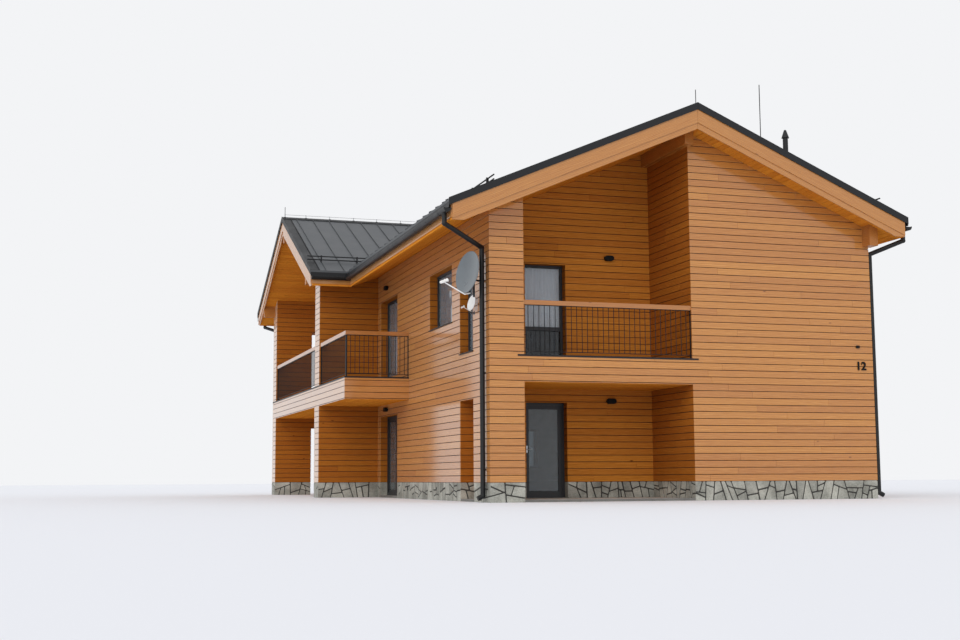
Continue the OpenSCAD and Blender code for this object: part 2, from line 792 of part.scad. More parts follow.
// The outlets are shaped to the gutters' undersides, with a hair's gap
saddle_r = gutter_r + 0.1;
module downpipes() color("dimgray") site() {
    difference() {
        union() {
            downpipe([x_left - gutter_out, outlet_y, outlet_z], 0, left_pipe_y, [-1, 0],
                neck_fall_left);
            downpipe([x_right + gutter_out, outlet_y, right_outlet_z], body_w, right_pipe_y,
                [1, 0], neck_fall_right);
            downpipe([x_right + gutter_out, y_back - 500, right_outlet_z], body_w, back_pipe_y,
                [1, 0], neck_fall_right);
            downpipe([x_wing + 250, y_back + gutter_out, outlet_z], far_pipe_x, body_l, [0, 1],
                neck_fall_left);
        }
        translate([x_left - gutter_out, 0, gutter_z]) rotate([90, 0, 0]) cylinder(h = 1000, r = saddle_r);
        translate([x_right + gutter_out, y_back, gutter_z - right_gutter_drop]) rotate([90, 0, 0])
            cylinder(h = y_back - y_front, r = saddle_r);
        translate([x_wing, y_back + gutter_out, gutter_z]) rotate([0, 90, 0])
            cylinder(h = 1000, r = saddle_r);
    }
}

// Railing panels of upright round bars between two flat bars
rail_z = deck_h + flashing_t;
rail_top = deck_h + rail_h;
bar_v = 12;
bar_w = 30;
rail_inset = 45;
bar_low = rail_z + 60;
bar_high = rail_top - handrail_v - bar_v;
module railing(length) {
    bays = ceil(length / baluster_p);
    for (z = [bar_low, bar_high]) translate([0, -bar_w / 2, z]) cube([length, bar_w, bar_v]);
    for (x = [0, length - bar_w])
        translate([x, -bar_w / 2, rail_z]) cube([bar_w, bar_w, bar_high + bar_v - rail_z]);
    for (i = [1 : bays - 1])
        translate([i * length / bays, 0, bar_low]) cylinder(h = bar_high + bar_v - bar_low, d = baluster_d);
}

rail_x = -wing_w + rail_inset;
rail_y = balcony_y + rail_inset;
module railings() color("dimgray") site() {
    near = rail_y + bar_w / 2 + mitre;
    far = wing_y + fin_t;
    translate([pier_w, rail_inset, 0]) railing(loggia_x - pier_w);
    translate([rail_x - bar_w / 2, rail_y, 0]) railing(-rail_x + bar_w / 2);
    translate([rail_x, near, 0]) rotate([0, 0, 90]) railing(wing_y - near);
    translate([rail_x, far, 0]) rotate([0, 0, 90]) railing(fin_far_y - far);
}

module handrails() color("sienna") site() {
    low = rail_top - handrail_v;
    half = handrail_w / 2;
    block([pier_w, rail_inset - half, low], [loggia_x, rail_inset + half, rail_top]);
    block([rail_x - half, rail_y - half, low], [0, rail_y + half, rail_top]);
    block([rail_x - half, rail_y + half + mitre, low], [rail_x + half, wing_y, rail_top]);
    block([rail_x - half, wing_y + fin_t, low], [rail_x + half, fin_far_y, rail_top]);
}

// The face of an opening, drawn in by an inset on every side
module face(o, inset) {
    translate([o[0] + inset, o[2] + inset]) square([o[1] - o[0] - 2 * inset, o[3] - o[2] - 2 * inset]);
}

module ring(o, outer, inner) {
    difference() {
        face(o, outer);
        face(o, inner);
    }
}

upper_loggia_door = [loggia_door[0], loggia_door[1], upper_h, upper_head];
loggia_frame_y = loggia_d + reveal_d;
module window_frames() color("dimgray") site() {
    for (o = concat(left_upper_fixed, left_lower_fixed))
        along_x(reveal_d, reveal_d + frame_d) ring(o, 0, frame_b);
    for (o = right_windows)
        along_x(body_w - reveal_d - frame_d, body_w - reveal_d) ring(o, 0, frame_b);
    for (o = back_windows)
        along_y(body_l - reveal_d - frame_d, body_l - reveal_d) ring(o, 0, frame_b);
    along_y(loggia_frame_y, loggia_frame_y + frame_d) ring(upper_loggia_door, 0, frame_b);
}

glass_t = 24;
glass_in = (frame_d - glass_t) / 2;
module window_panes() color("lightblue") site() {
    for (o = concat(left_upper_fixed, left_lower_fixed))
        along_x(reveal_d + glass_in, reveal_d + glass_in + glass_t) face(o, frame_b);
    for (o = right_windows)
        along_x(body_w - reveal_d - glass_in - glass_t, body_w - reveal_d - glass_in) face(o, frame_b);
    for (o = back_windows)
        along_y(body_l - reveal_d - glass_in - glass_t, body_l - reveal_d - glass_in) face(o, frame_b);
    along_y(loggia_frame_y + glass_in, loggia_frame_y + glass_in + glass_t) face(upper_loggia_door, frame_b);
}

// Metal sills inside each opening, run out past the wall face
sill_t = 20;
sill_out = 40;
module window_sills() color("dimgray") site() {
    for (o = left_upper_fixed)
        if (o[2] > upper_h + EPS || o[0] == entry[0])
            block([-sill_out, o[0], o[2]], [reveal_d, o[1], o[2] + sill_t]);
    for (o = right_windows) block([body_w - reveal_d, o[0], o[2]], [body_w + sill_out, o[1], o[2] + sill_t]);
    for (o = back_windows) block([o[0], body_l - reveal_d, o[2]], [o[1], body_l + sill_out, o[2] + sill_t]);
}

// Opening doors. The frame has a lip outside that covers the leaf's gap.
door_b = 45;
lip_w = 22;
lip_d = 15;
lip_gap = 6;
stile_w = 85;
leaf_d0 = lip_d + lip_gap;
hinge_r = 8;
hinge_v = 60;
hinge_gap = 0.3;
hinge_plate = 3;
hinge_arm = 36;
hinge_up = [250, door_h - 400];
lower_loggia_door = [loggia_door[0], loggia_door[1], floor_h, door_head];
lower_side_door = [side_door[0], side_door[1], floor_h, door_head];
side_mid = (side_door[0] + side_door[1]) / 2;

// A leaf's outline: the frame's inside less the clearance
function leaf_of(a, b) = [a, b, floor_h + door_b + leaf_gap, door_head - door_b - leaf_gap];
loggia_leaf = leaf_of(loggia_door[0] + door_b + leaf_gap, loggia_door[1] - door_b - leaf_gap);
near_leaf = leaf_of(side_door[0] + door_b + leaf_gap, side_mid - leaf_gap / 2);
far_leaf = leaf_of(side_mid + leaf_gap / 2, side_door[1] - door_b - leaf_gap);

// Half of a butt hinge on its pin line, with a plate towards side
module hinge_half(side) {
    cylinder(h = hinge_v, r = hinge_r);
    translate([side > 0 ? 0 : -hinge_arm, -hinge_r, 0]) cube([hinge_arm, hinge_plate, hinge_v]);
}

// Hinge pin lines in plan
function pin_back(d) = d + frame_d + hinge_r;
loggia_pin = [loggia_leaf[1] + leaf_gap / 2, pin_back(loggia_frame_y)];
near_pin = [pin_back(reveal_d), near_leaf[0] - leaf_gap / 2];
far_pin = [pin_back(reveal_d), far_leaf[1] + leaf_gap / 2];

// Hinge halves at both heights: the low half on the leaf, the high one on the frame
module hinges(pin, turn, side, on_frame) {
    for (z = hinge_up)
        translate([pin[0], pin[1], floor_h + z + (on_frame ? hinge_v + hinge_gap : 0)])
            rotate([0, 0, turn]) hinge_half(side);
}

module door_frames() color("dimgray") site() {
    along_y(loggia_frame_y, loggia_frame_y + frame_d) ring(lower_loggia_door, 0, door_b);
    along_y(loggia_frame_y, loggia_frame_y + lip_d) ring(lower_loggia_door, 0, door_b + lip_w);
    hinges(loggia_pin, 0, 1, true);
    along_x(reveal_d, reveal_d + frame_d) ring(lower_side_door, 0, door_b);
    along_x(reveal_d, reveal_d + lip_d) ring(lower_side_door, 0, door_b + lip_w);
    hinges(near_pin, -90, 1, true);
    hinges(far_pin, -90, -1, true);
}

module loggia_door_leaf() color("dimgray") site() {
    along_y(loggia_frame_y + leaf_d0, loggia_frame_y + frame_d) ring(loggia_leaf, 0, stile_w);
    hinges(loggia_pin, 0, -1, false);
}

leaf_glass = [leaf_d0 + 18, leaf_d0 + 18 + glass_t];
module loggia_door_pane() color("lightblue") site() {
    along_y(loggia_frame_y + leaf_glass[0], loggia_frame_y + leaf_glass[1]) face(loggia_leaf, stile_w);
}

module side_door_leaf_near() color("dimgray") site() {
    along_x(reveal_d + leaf_d0, reveal_d + frame_d) ring(near_leaf, 0, stile_w);
    hinges(near_pin, -90, -1, false);
}

module side_door_pane_near() color("lightblue") site() {
    along_x(reveal_d + leaf_glass[0], reveal_d + leaf_glass[1]) face(near_leaf, stile_w);
}

module side_door_leaf_far() color("dimgray") site() {
    along_x(reveal_d + leaf_d0, reveal_d + frame_d) ring(far_leaf, 0, stile_w);
    hinges(far_pin, -90, 1, false);
}

module side_door_pane_far() color("lightblue") site() {
    along_x(reveal_d + leaf_glass[0], reveal_d + leaf_glass[1]) face(far_leaf, stile_w);
}

// The side entrance lies deep in the wall, with a plank leaf
entry_t = 60;
module entry_door() color("peru") site() {
    block([wall_t - entry_t, entry[0], floor_h], [wall_t, entry[1], door_head]);
}

// A lever handle on a face in X and Z, standing out towards -Y. The lever points along side.
handle_z = floor_h + 1050;
plate_d = 8;
lever_off = 48;
lever_r = 9;
lever_l = 115;
module lever(side) {
    translate([-15, -plate_d, -75]) cube([30, plate_d, 150]);
    rod([0, 0, 0], [0, -lever_off, 0], lever_r);
    rod([0, -lever_off, 0], [side * lever_l, -lever_off, 0], lever_r);
    translate([0, -lever_off, 0]) sphere(lever_r);
}

module loggia_door_handle() color("silver") site() {
    x = loggia_leaf[0] + stile_w / 2;
    translate([x, loggia_frame_y + leaf_d0, handle_z]) lever(1);
    translate([x, loggia_frame_y + frame_d, handle_z]) rotate([0, 0, 180]) lever(-1);
}

module side_door_handle() color("silver") site() {
    y = near_leaf[1] - stile_w / 2;
    translate([reveal_d + leaf_d0, y, handle_z]) rotate([0, 0, -90]) lever(1);
    translate([reveal_d + frame_d, y, handle_z]) rotate([0, 0, 90]) lever(-1);
}

// Oval wall lamps, wider than high
lamp_w = 220;
lamp_v = 115;
lamp_d = 95;
lamp_plate = 20;
module oval(w, v, d) {
    rotate([90, 0, 0]) linear_extrude(d) {
        square([w - v, v], center = true);
        for (s = [-1, 1]) translate([s * (w - v) / 2, 0]) circle(v / 2);
    }
}

module lamp() {
    oval(lamp_w * 0.7, lamp_v * 0.7, lamp_plate);
    translate([0, -lamp_plate, 0]) oval(lamp_w, lamp_v, lamp_d - lamp_plate);
}

loggia_lamp_x = 3455;
side_lamp_y = side_door[1] - 760;
lamp_zs = [door_head + 30, upper_head + 180];
bell = [body_w - 367, 3284];
module wall_lamps() color("black") site() {
    for (z = lamp_zs) {
        translate([loggia_lamp_x, loggia_d, z]) lamp();
        translate([0, side_lamp_y, z + 120]) rotate([0, 0, -90]) lamp();
    }
    translate([bell[0], 0, bell[1]]) oval(90, 60, 45);
}

// A shallow round bowl facing +Z, with its rim at height zero
bowl_steps = 8;
module bowl(r, depth, t) {
    inner = [for (i = [0 : bowl_steps]) [r * i / bowl_steps, depth * (pow(i / bowl_steps, 2) - 1)]];
    outer = [for (i = [bowl_steps : -1 : 0]) inner[i] - [0, t]];
    rotate_extrude($fn = 96) polygon(concat(inner, outer));
}

// Both antennas hang on bent tubes from the left wall. Local +X is down and
// +Z the way the bowl looks.
bowl_t = 5;
bowl_ratio = 0.16;
dish_at = [-450, 205, 4617];
dish_r = 420;
dish_turn = 198;
dish_lift = 12;
dish_foot = [0, 473, 4448];
dish_knee = [-300, 330, 4440];
small_at = [-130, 870, 4065];
small_r = 140;
small_turn = 200;
small_lift = 15;
small_foot = [0, 1000, 3880];
small_knee = [-90, 1000, 3880];
arm_r = 17;
arm_plate = 24;
function looks(turn, lift) = [cos(turn) * cos(lift), sin(turn) * cos(lift), sin(lift)];
module antenna(at, r, turn, lift, foot, knee) {
    back = bowl_ratio * r + bowl_t + 25;
    end = at - back * looks(turn, lift);
    translate(at) rotate([0, 90 - lift, turn]) {
        bowl(r, bowl_ratio * r, bowl_t);
        translate([0, 0, -back]) cylinder(h = 27, r = 30);
    }
    translate(foot - [arm_plate, 0, 0]) rotate([0, 90, 0]) cylinder(h = arm_plate, r = 50);
    pipe_run([foot - [arm_plate / 2, 0, 0], knee, end], arm_r);
}

receiver_at = [0.8 * dish_r, 430];
module dish_antennas() color("silver") site() {
    antenna(dish_at, dish_r, dish_turn, dish_lift, dish_foot, dish_knee);
    antenna(small_at, small_r, small_turn, small_lift, small_foot, small_knee);
    translate(dish_at) rotate([0, 90 - dish_lift, dish_turn]) {
        rod([dish_r - 5, 0, -12], [receiver_at[0], 0, receiver_at[1]], 9);
        translate([receiver_at[0], 0, receiver_at[1] - 40]) cylinder(h = 110, r = 30);
    }
}

// Keeps only what stands above the cover of a main or cross slope
module over_main(side) {
    difference() {
        children();
        main_layer(side, 0, TALL);
        for (y = main_seams) main_layer(side, -seam_v, 0, y - seam_w / 2, y + seam_w / 2);
    }
}

module over_cross(side) {
    difference() {
        children();
        cross_layer(side, 0, TALL);
        for (x = cross_seams) cross_layer(side, -seam_v, 0, x - seam_w / 2, x + seam_w / 2);
    }
}

flue_at = [7785, 1600];
flue_r = 60;
flue_top = ridge_h + 70;
cowl_r = 90;
cowl_tip_r = 25;
cowl_v = 190;
mast_at = [7140, 1600];
mast_r = 10;
mast_foot_r = 48;
mast_top = ridge_h + 1290;
// Snow guards: two round pipes along each slope, clamped on every second seam
guard_in = 950;
guard_in_right = 650;
guard_cross_in = 700;
guard_r = 16;
guard_zs = [62, 152];
guard_post = 34;
guard_post_w = 50;
guard_end = 75;
module guard_pipes(length, posts) {
    for (z = guard_zs) translate([0, 0, z]) rotate([0, 90, 0]) cylinder(h = length, r = guard_r);
    for (x = posts)
        translate([x - guard_post / 2, -guard_post_w / 2, -60])
            cube([guard_post, guard_post_w, guard_zs[1] + guard_r + 70]);
}

// Every second seam between two ends, measured from the first end
function guard_posts(seams, a, b) = [for (i = [0 : 2 : len(seams) - 1])
    if (seams[i] > a + guard_post && seams[i] < b - guard_post) seams[i] - a];
module main_guard(side, y1) {
    y0 = y_front + guard_end;
    x = side < 0 ? x_left + guard_in : x_right - guard_in_right;
    over_main(side)
        translate([x, y0, main_top(x)]) rotate([0, 0, 90])
            guard_pipes(y1 - y0, guard_posts(main_seams, y0, y1));
}

module cross_guard(side) {
    x0 = x_wing + 30;
    x1 = valley_x(y_near + guard_cross_in, 0) - 60;
    y = side < 0 ? y_near + guard_cross_in : y_back - guard_cross_in;
    over_cross(side) translate([x0, y, cross_top(y)]) guard_pipes(x1 - x0, guard_posts(cross_seams, x0, x1));
}

module roof_fittings() color("dimgray") site() {
    over_main(1) {
        translate([flue_at[0], flue_at[1], eave_z]) cylinder(h = flue_top - eave_z, r = flue_r);
        translate([flue_at[0], flue_at[1], eave_z])
            cylinder(h = main_top(flue_at[0] - cowl_r) + 90 - eave_z, r = cowl_r);
        translate([flue_at[0], flue_at[1], flue_top]) cylinder(h = cowl_v, r1 = cowl_r, r2 = cowl_tip_r);
        translate([mast_at[0], mast_at[1], eave_z]) cylinder(h = mast_top - eave_z, r = mast_r);
        translate([mast_at[0], mast_at[1], eave_z])
            cylinder(h = main_top(mast_at[0] - cowl_r) + 40 - eave_z, r = mast_foot_r);
    }
    main_guard(1, y_back - guard_end);
    main_guard(-1, y_near + guard_in * valley_slope - 150);
    cross_guard(-1);
    cross_guard(1);
    translate([mid_x, y_front + 90, ridge_h + cap_t]) cylinder(h = 300, r = 8);
    translate([x_wing + 90, cross_y, cross_ridge_h + cap_t]) cylinder(h = 300, r = 8);
}

// Pleated curtains on a rail behind the upper loggia door
curtain_y = loggia_frame_y + frame_d + 60;
curtain_t = 40;
curtain_rail_v = 25;
module curtains() color("gray") site() {
    low = upper_h + 15;
    high = upper_head - curtain_rail_v;
    w = door_w * 0.46;
    block([loggia_door[0], curtain_y, high], [loggia_door[1], curtain_y + curtain_t, upper_head]);
    block([loggia_door[0] + 10, curtain_y, low], [loggia_door[0] + w, curtain_y + curtain_t, high]);
    block([loggia_door[1] - w, curtain_y, low], [loggia_door[1] - 10, curtain_y + curtain_t, high]);
}

ground_slab();
loggia_paving();
thresholds();
plinths_across();
plinths_along();
front_wall();
loggia_wall_lower();
loggia_wall_upper();
loggia_side_wall();
left_wall_lower();
left_wall_upper();
left_wall_gable();
right_wall();
back_wall();
fins();
far_fin_lintels();
upper_floor_main();
upper_floor_front();
loggia_slab();
balcony_slab();
slab_flashings();
roof_deck_left();
roof_deck_left_back();
roof_deck_right();
cross_deck_near();
cross_deck_far();
roof_cover_left();
roof_cover_left_back();
roof_cover_right();
cross_cover_near();
cross_cover_far();
ridge_caps();
bargeboards();
eaves_boards();
verge_flashings();
purlins();
gutters();
downpipes();
railings();
handrails();
window_frames();
window_panes();
window_sills();
door_frames();
loggia_door_leaf();
loggia_door_pane();
loggia_door_handle();
side_door_leaf_near();
side_door_pane_near();
side_door_handle();
side_door_leaf_far();
side_door_pane_far();
entry_door();
wall_lamps();
dish_antennas();
roof_fittings();
curtains();
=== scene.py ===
# %% [markdown]
# # Alpine chalet
# A two-storey house clad in horizontal larch boards. Its frame comes from the packed
# CAD model: walls, roof layers, gutters, railings, doors and glass are there at full
# size, in metres. This script gives each of them its real finish and adds what is too
# fine for the CAD: every board, every plinth stone, the gutter hooks and the curtains.

# %% Load the frame
import math
import random

import bmesh
import bpy
from mathutils import Matrix, Vector


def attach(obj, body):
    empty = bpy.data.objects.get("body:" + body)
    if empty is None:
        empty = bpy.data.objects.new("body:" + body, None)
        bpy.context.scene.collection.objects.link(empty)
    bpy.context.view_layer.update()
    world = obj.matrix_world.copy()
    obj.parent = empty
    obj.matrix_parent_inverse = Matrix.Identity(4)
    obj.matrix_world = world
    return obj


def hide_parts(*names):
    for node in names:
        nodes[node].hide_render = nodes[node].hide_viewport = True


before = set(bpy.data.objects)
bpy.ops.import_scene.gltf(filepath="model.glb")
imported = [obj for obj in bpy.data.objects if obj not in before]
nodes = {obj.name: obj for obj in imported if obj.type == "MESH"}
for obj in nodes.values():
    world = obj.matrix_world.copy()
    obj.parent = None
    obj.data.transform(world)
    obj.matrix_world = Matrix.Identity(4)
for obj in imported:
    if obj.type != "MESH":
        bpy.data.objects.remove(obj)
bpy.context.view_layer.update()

# %% [markdown]
# The camera stands low in front of the left corner, where the photograph was taken. It
# could be placed by eye. It was solved from the house's own edges instead, so that widths
# and heights can be measured through it.

# %% Camera
PHOTO_W = 960
FOCAL_PX = 1326.1
SENSOR_MM = 36.0
EYE = Vector((-12.5335, -33.8018, 0.4654))
YAW, PITCH, ROLL = 0.3071, 0.1193, -0.0053


def looking(yaw, pitch, roll):
    """The turn of a camera that looks along yaw from +Y towards +X, raised by pitch."""
    ahead = Vector((math.sin(yaw) * math.cos(pitch), math.cos(yaw) * math.cos(pitch), math.sin(pitch)))
    level = Vector((math.cos(yaw), -math.sin(yaw), 0))
    rise = level.cross(ahead)
    side = level * math.cos(roll) + rise * math.sin(roll)
    top = rise * math.cos(roll) - level * math.sin(roll)
    return Matrix((side, top, -ahead)).transposed()


camera_data = bpy.data.cameras.new("photo_camera")
camera_data.sensor_width = SENSOR_MM
camera_data.lens = FOCAL_PX / PHOTO_W * SENSOR_MM
camera = bpy.data.objects.new("photo_camera", camera_data)
camera.matrix_world = Matrix.Translation(EYE) @ looking(YAW, PITCH, ROLL).to_4x4()
bpy.context.scene.collection.objects.link(camera)
bpy.context.scene.camera = camera
print("lens in mm:", round(camera_data.lens, 2))

# %% [markdown]
# Everything below is measured from the front left corner of the main block: x along the
# front, y towards the back, z up. The values are those of the CAD model, so that boards
# meet its faces. The roof is two crossing gables, so a height under it comes from the
# distance to a ridge.

# %% The house's own measures
CORNER = Vector((-4.4, -8.8, 0.0))
BODY_W, BODY_L = 8.8, 17.6
PLINTH = 0.39
MID_X, CROSS_Y = 4.4, 13.65
MAIN_T = math.tan(math.radians(23.4))
EAVE = 5.89
LEFT_EAVE, NEAR_EAVE, BACK_EAVE, RIGHT_EAVE = -1.03, 8.83, 18.47, 9.43
RIDGE = EAVE + MAIN_T * (MID_X - LEFT_EAVE)
CROSS_RIDGE = RIDGE - 0.05
CROSS_T = (CROSS_RIDGE - EAVE) / (CROSS_Y - NEAR_EAVE)
VALLEY_RUN = MAIN_T / CROSS_T
VALLEY_Y = NEAR_EAVE - LEFT_EAVE * VALLEY_RUN
ROOF_V = 0.42
WING = -1.6
WING_VERGE = -2.02
SOFFIT, DECK = 2.41, 2.94
DOOR_HEAD, UPPER_HEAD = 2.12, 5.16
UPPER_FLOOR = 3.09
FLOOR = 0.05
SILL = 0.77
REVEAL, FRAME_D = 0.18, 0.08
LOGGIA_L, LOGGIA_R, LOGGIA_BACK = 0.71, 4.46, 2.045
WALL = 0.4
PASSAGE = -0.49
FIN_NEAR, FIN_FAR = (9.7, 10.3), (17.0, 17.6)
BALCONY = 6.4
ENTRY, SIDE_DOOR, WIDE = (1.08, 2.05), (7.55, 9.4), (2.63, 4.48)
BAY = (12.725, 14.575)
LOGGIA_DOOR = (1.46, 2.43)
X, Y, Z = Vector((1, 0, 0)), Vector((0, 1, 0)), Vector((0, 0, 1))
print("ridge", round(RIDGE, 3), "cross ridge", round(CROSS_RIDGE, 3))

# %% [markdown]
# A colour is written as it looks on a screen. One function turns it to the linear values
# that a renderer mixes. A second one fills an input of a node, and a third adds a node to
# a tree with its settings and its links, so each material below reads as a short recipe.

# %% Colours and nodes
def colour(code):
    """Linear values of a colour that is written as it looks on a screen."""
    parts = [int(code[i:i + 2], 16) / 255 for i in (0, 2, 4)]
    return tuple(c / 12.92 if c <= 0.04045 else ((c + 0.055) / 1.055) ** 2.4 for c in parts) + (1.0,)


def feed(node, key, value):
    """Gives a node's input a plain value, or links it to an output or to a node's first output."""
    if isinstance(value, bpy.types.Node):
        value = value.outputs[0]
    if isinstance(value, bpy.types.NodeSocket):
        node.id_data.links.new(value, node.inputs[key])
    else:
        node.inputs[key].default_value = value


def add(tree, kind, *inputs, stops=(), **settings):
    """Adds a node. Inputs come in order, or in a dictionary by name or number; stops colour a ramp."""
    node = tree.nodes.new("ShaderNode" + kind)
    for name, value in settings.items():
        setattr(node, name, value)
    for number, given in enumerate(inputs):
        for key, value in (given if isinstance(given, dict) else {number: given}).items():
            feed(node, key, value)
    for number, (place, code) in enumerate(stops):
        points = node.color_ramp.elements
        point = points[number] if number < len(points) else points.new(1.0)
        point.position, point.color = place, colour(code)
    return node


def surface(name, sockets):
    """A material with one principled shader. Its sockets take their own values."""
    made = bpy.data.materials.new(name)
    made.use_nodes = True
    tree = made.node_tree
    tree.nodes.clear()
    shader = add(tree, "BsdfPrincipled", sockets)
    add(tree, "OutputMaterial", shader)
    return made, tree, shader


print("a larch tone in linear values:", [round(c, 3) for c in colour("cd8e47")[:3]])

# %% [markdown]
# The house stands on a plain pale floor under an even pale sky, as on an overcast day.
# The sky lights it at a plain level. Rays from the camera, and those that mirror or pass
# through glass, see a brighter sky, so the background is pale and glass shows it. A wide
# soft sun adds a little shape.

# %% Sky, sun and floor
SKY_SEEN, SKY_LIGHT = "f3f4f6", 0.92
FLOOR_SIZE = 260.0
SUN_ENERGY, SUN_WIDTH = 1.1, math.radians(50)
SUN_TURN = (math.radians(60), 0, math.radians(-40))

world = bpy.data.worlds.new("overcast_sky")
bpy.context.scene.world = world
world.use_nodes = True
sky = world.node_tree
sky.nodes.clear()
path = add(sky, "LightPath").outputs
mirrored = add(sky, "Math", path["Is Camera Ray"], path["Is Glossy Ray"], operation="MAXIMUM")
seen = add(sky, "Math", mirrored, path["Is Transmission Ray"], operation="MAXIMUM")
lit = add(sky, "Background", colour("f8fafe"), SKY_LIGHT)
shown = add(sky, "Background", colour(SKY_SEEN), 1.0)
both = add(sky, "MixShader", seen, lit, shown)
add(sky, "OutputWorld", both)
bpy.context.scene.view_settings.view_transform = "Standard"

sun_data = bpy.data.lights.new("soft_sun", "SUN")
sun_data.energy = SUN_ENERGY
sun_data.angle = SUN_WIDTH
sun_data.color = (1.0, 0.97, 0.93)
sun = bpy.data.objects.new("soft_sun", sun_data)
sun.rotation_euler = SUN_TURN
bpy.context.scene.collection.objects.link(sun)

half = FLOOR_SIZE / 2
floor_mesh = bpy.data.meshes.new("pale_floor")
floor_corners = [(-half, -half, 0), (half, -half, 0), (half, half, 0), (-half, half, 0)]
floor_mesh.from_pydata(floor_corners, [], [(0, 1, 2, 3)])
floor = bpy.data.objects.new("pale_floor", floor_mesh)
bpy.context.scene.collection.objects.link(floor)
floor_paint, tree, shader = surface("pale_floor_paint", {"Roughness": 0.95, "Specular IOR Level": 0.2})
clouds = add(tree, "TexNoise", {"Scale": 0.3, "Detail": 2.0})
feed(shader, "Base Color", add(tree, "ValToRGB", clouds, stops=[(0.3, "e6e7eb"), (0.7, "e9eaed")]))
floor_mesh.materials.append(floor_paint)
print("sky light", SKY_LIGHT, "sun", SUN_ENERGY, "floor in metres", FLOOR_SIZE)

# %% [markdown]
# Larch: planed softwood with a satin oil stain. The eye sees straight grain with darker
# late wood, small round knots, and a different tone from board to board. At a low angle
# the oil mirrors the pale sky, which turns a wall pinkish. A picture of wood would repeat,
# so the grain is drawn by noise that is stretched along the board. Loose boards carry a
# map of their own, in metres along and across the grain, and a tone each. A CAD piece has
# no such map, so its grain is worked out from where each point lies.

# %% Timber
LATE_WOOD = 0.011    # metres; 2 to 4 mm in the real board, drawn coarser so that it shows
FIBRES = 240.0       # to the metre, so 4 mm each; under 1 mm in the real board, drawn coarser
KNOT_EVERY, KNOT_R = 0.5, 0.011


def board_grain(tree):
    """The map and the tone that every loose board carries."""
    return (add(tree, "UVMap", uv_map="grain"),
            add(tree, "Attribute", attribute_name="tone").outputs["Fac"])


def timber(name, early, late, knot, rough, grain=board_grain, spread=1.0, coat=1.0, fuzz=0.15,
           gloss=0.2):
    """coat is the oil's film, fuzz the raised fibres that look pale, gloss the wood's own shine."""
    made, tree, shader = surface(name, {
        "IOR": 1.5, "Specular IOR Level": gloss, "Coat Weight": coat, "Coat IOR": 1.6,
        "Coat Roughness": 0.12, "Sheen Weight": fuzz, "Sheen Roughness": 0.3})
    where, tone = grain(tree)
    stretched = add(tree, "VectorMath", where, (1.3, 20.0, 20.0), operation="MULTIPLY")
    wander = add(tree, "TexNoise", {0: stretched, "Scale": 0.8, "Detail": 3.0})
    across = add(tree, "SeparateXYZ", where)
    rings = add(tree, "Math", across.outputs[1], 1 / LATE_WOOD, operation="MULTIPLY")
    bent = add(tree, "Math", wander, 5.0, rings, operation="MULTIPLY_ADD")
    bands = add(tree, "Math", bent, 1.0, operation="PINGPONG")
    fibres_at = add(tree, "VectorMath", where, (5.0, FIBRES, FIBRES), operation="MULTIPLY")
    fibres = add(tree, "TexNoise", {0: fibres_at, "Scale": 1.0, "Detail": 2.0})
    grainy = add(tree, "Math", fibres, 0.6, bands, operation="MULTIPLY_ADD")
    wood = add(tree, "ValToRGB", grainy, stops=[(0.3, early), (1.0, late)])
    knots_at = add(tree, "VectorMath", where, (0.6 / KNOT_EVERY, 2.0 / KNOT_EVERY, 2.0 / KNOT_EVERY),
                   operation="MULTIPLY")
    cells = add(tree, "TexVoronoi", {0: knots_at, "Scale": 1.0})
    edge = 2.0 * KNOT_R / KNOT_EVERY
    spot = add(tree, "MapRange", cells.outputs["Distance"], edge * 0.6, edge * 1.3, 1.0, 0.0)
    chance = add(tree, "SeparateColor", cells.outputs["Color"])
    there = add(tree, "Math", chance, 0.5, operation="GREATER_THAN")
    knots = add(tree, "Math", spot, there, operation="MULTIPLY")
    knotted = add(tree, "Mix", {0: knots, 6: wood, 7: colour(knot)}, data_type="RGBA")
    light = add(tree, "MapRange", {0: tone, 3: 1 - 0.08 * spread, 4: 1 + 0.07 * spread})
    turn = 0.0025 * spread
    warm = add(tree, "MapRange", {0: tone, 3: 0.5 - turn, 4: 0.5 + turn})
    toned = add(tree, "HueSaturation", {"Hue": warm, "Value": light, "Color": knotted.outputs[2]})
    feed(shader, "Base Color", toned)
    satin = add(tree, "MapRange", {0: grainy, 3: rough - 0.04, 4: rough + 0.1})
    feed(shader, "Roughness", satin)
    feed(shader, "Normal", add(tree, "Bump", {"Height": grainy, "Distance": 0.0007}))
    return made


def house_place(tree):
    """A point's x, y and z from the house's corner."""
    spot = add(tree, "TexCoord").outputs["Object"]
    moved = add(tree, "VectorMath", spot, tuple(-CORNER), operation="ADD")
    return add(tree, "SeparateXYZ", moved).outputs


def laid(turned, sloped=False):
    """Grain for a CAD timber. turned tells, from a point's place, where it runs along y."""
    def grain(tree):
        x, y, z = place = house_place(tree)
        turn = turned(tree, place)
        rise = z
        if sloped:
            out_x = add(tree, "Math", x, MID_X, operation="SUBTRACT")
            out_y = add(tree, "Math", y, CROSS_Y, operation="SUBTRACT")
            far_x = add(tree, "Math", out_x, operation="ABSOLUTE")
            far_y = add(tree, "Math", out_y, operation="ABSOLUTE")
            main = add(tree, "Math", far_x, MAIN_T, z, operation="MULTIPLY_ADD")
            cross = add(tree, "Math", far_y, CROSS_T, z, operation="MULTIPLY_ADD")
            rise = add(tree, "Mix", {0: turn, 2: main, 3: cross})
        along = add(tree, "Mix", {0: turn, 2: x, 3: y})
        deep = add(tree, "Mix", {0: turn, 2: y, 3: x})
        where = add(tree, "CombineXYZ", along, rise, deep)
        slow = add(tree, "VectorMath", where, (0.25, 0.6, 0.6), operation="MULTIPLY")
        return where, add(tree, "TexNoise", {0: slow, "Scale": 1.0, "Detail": 1.0})
    return grain


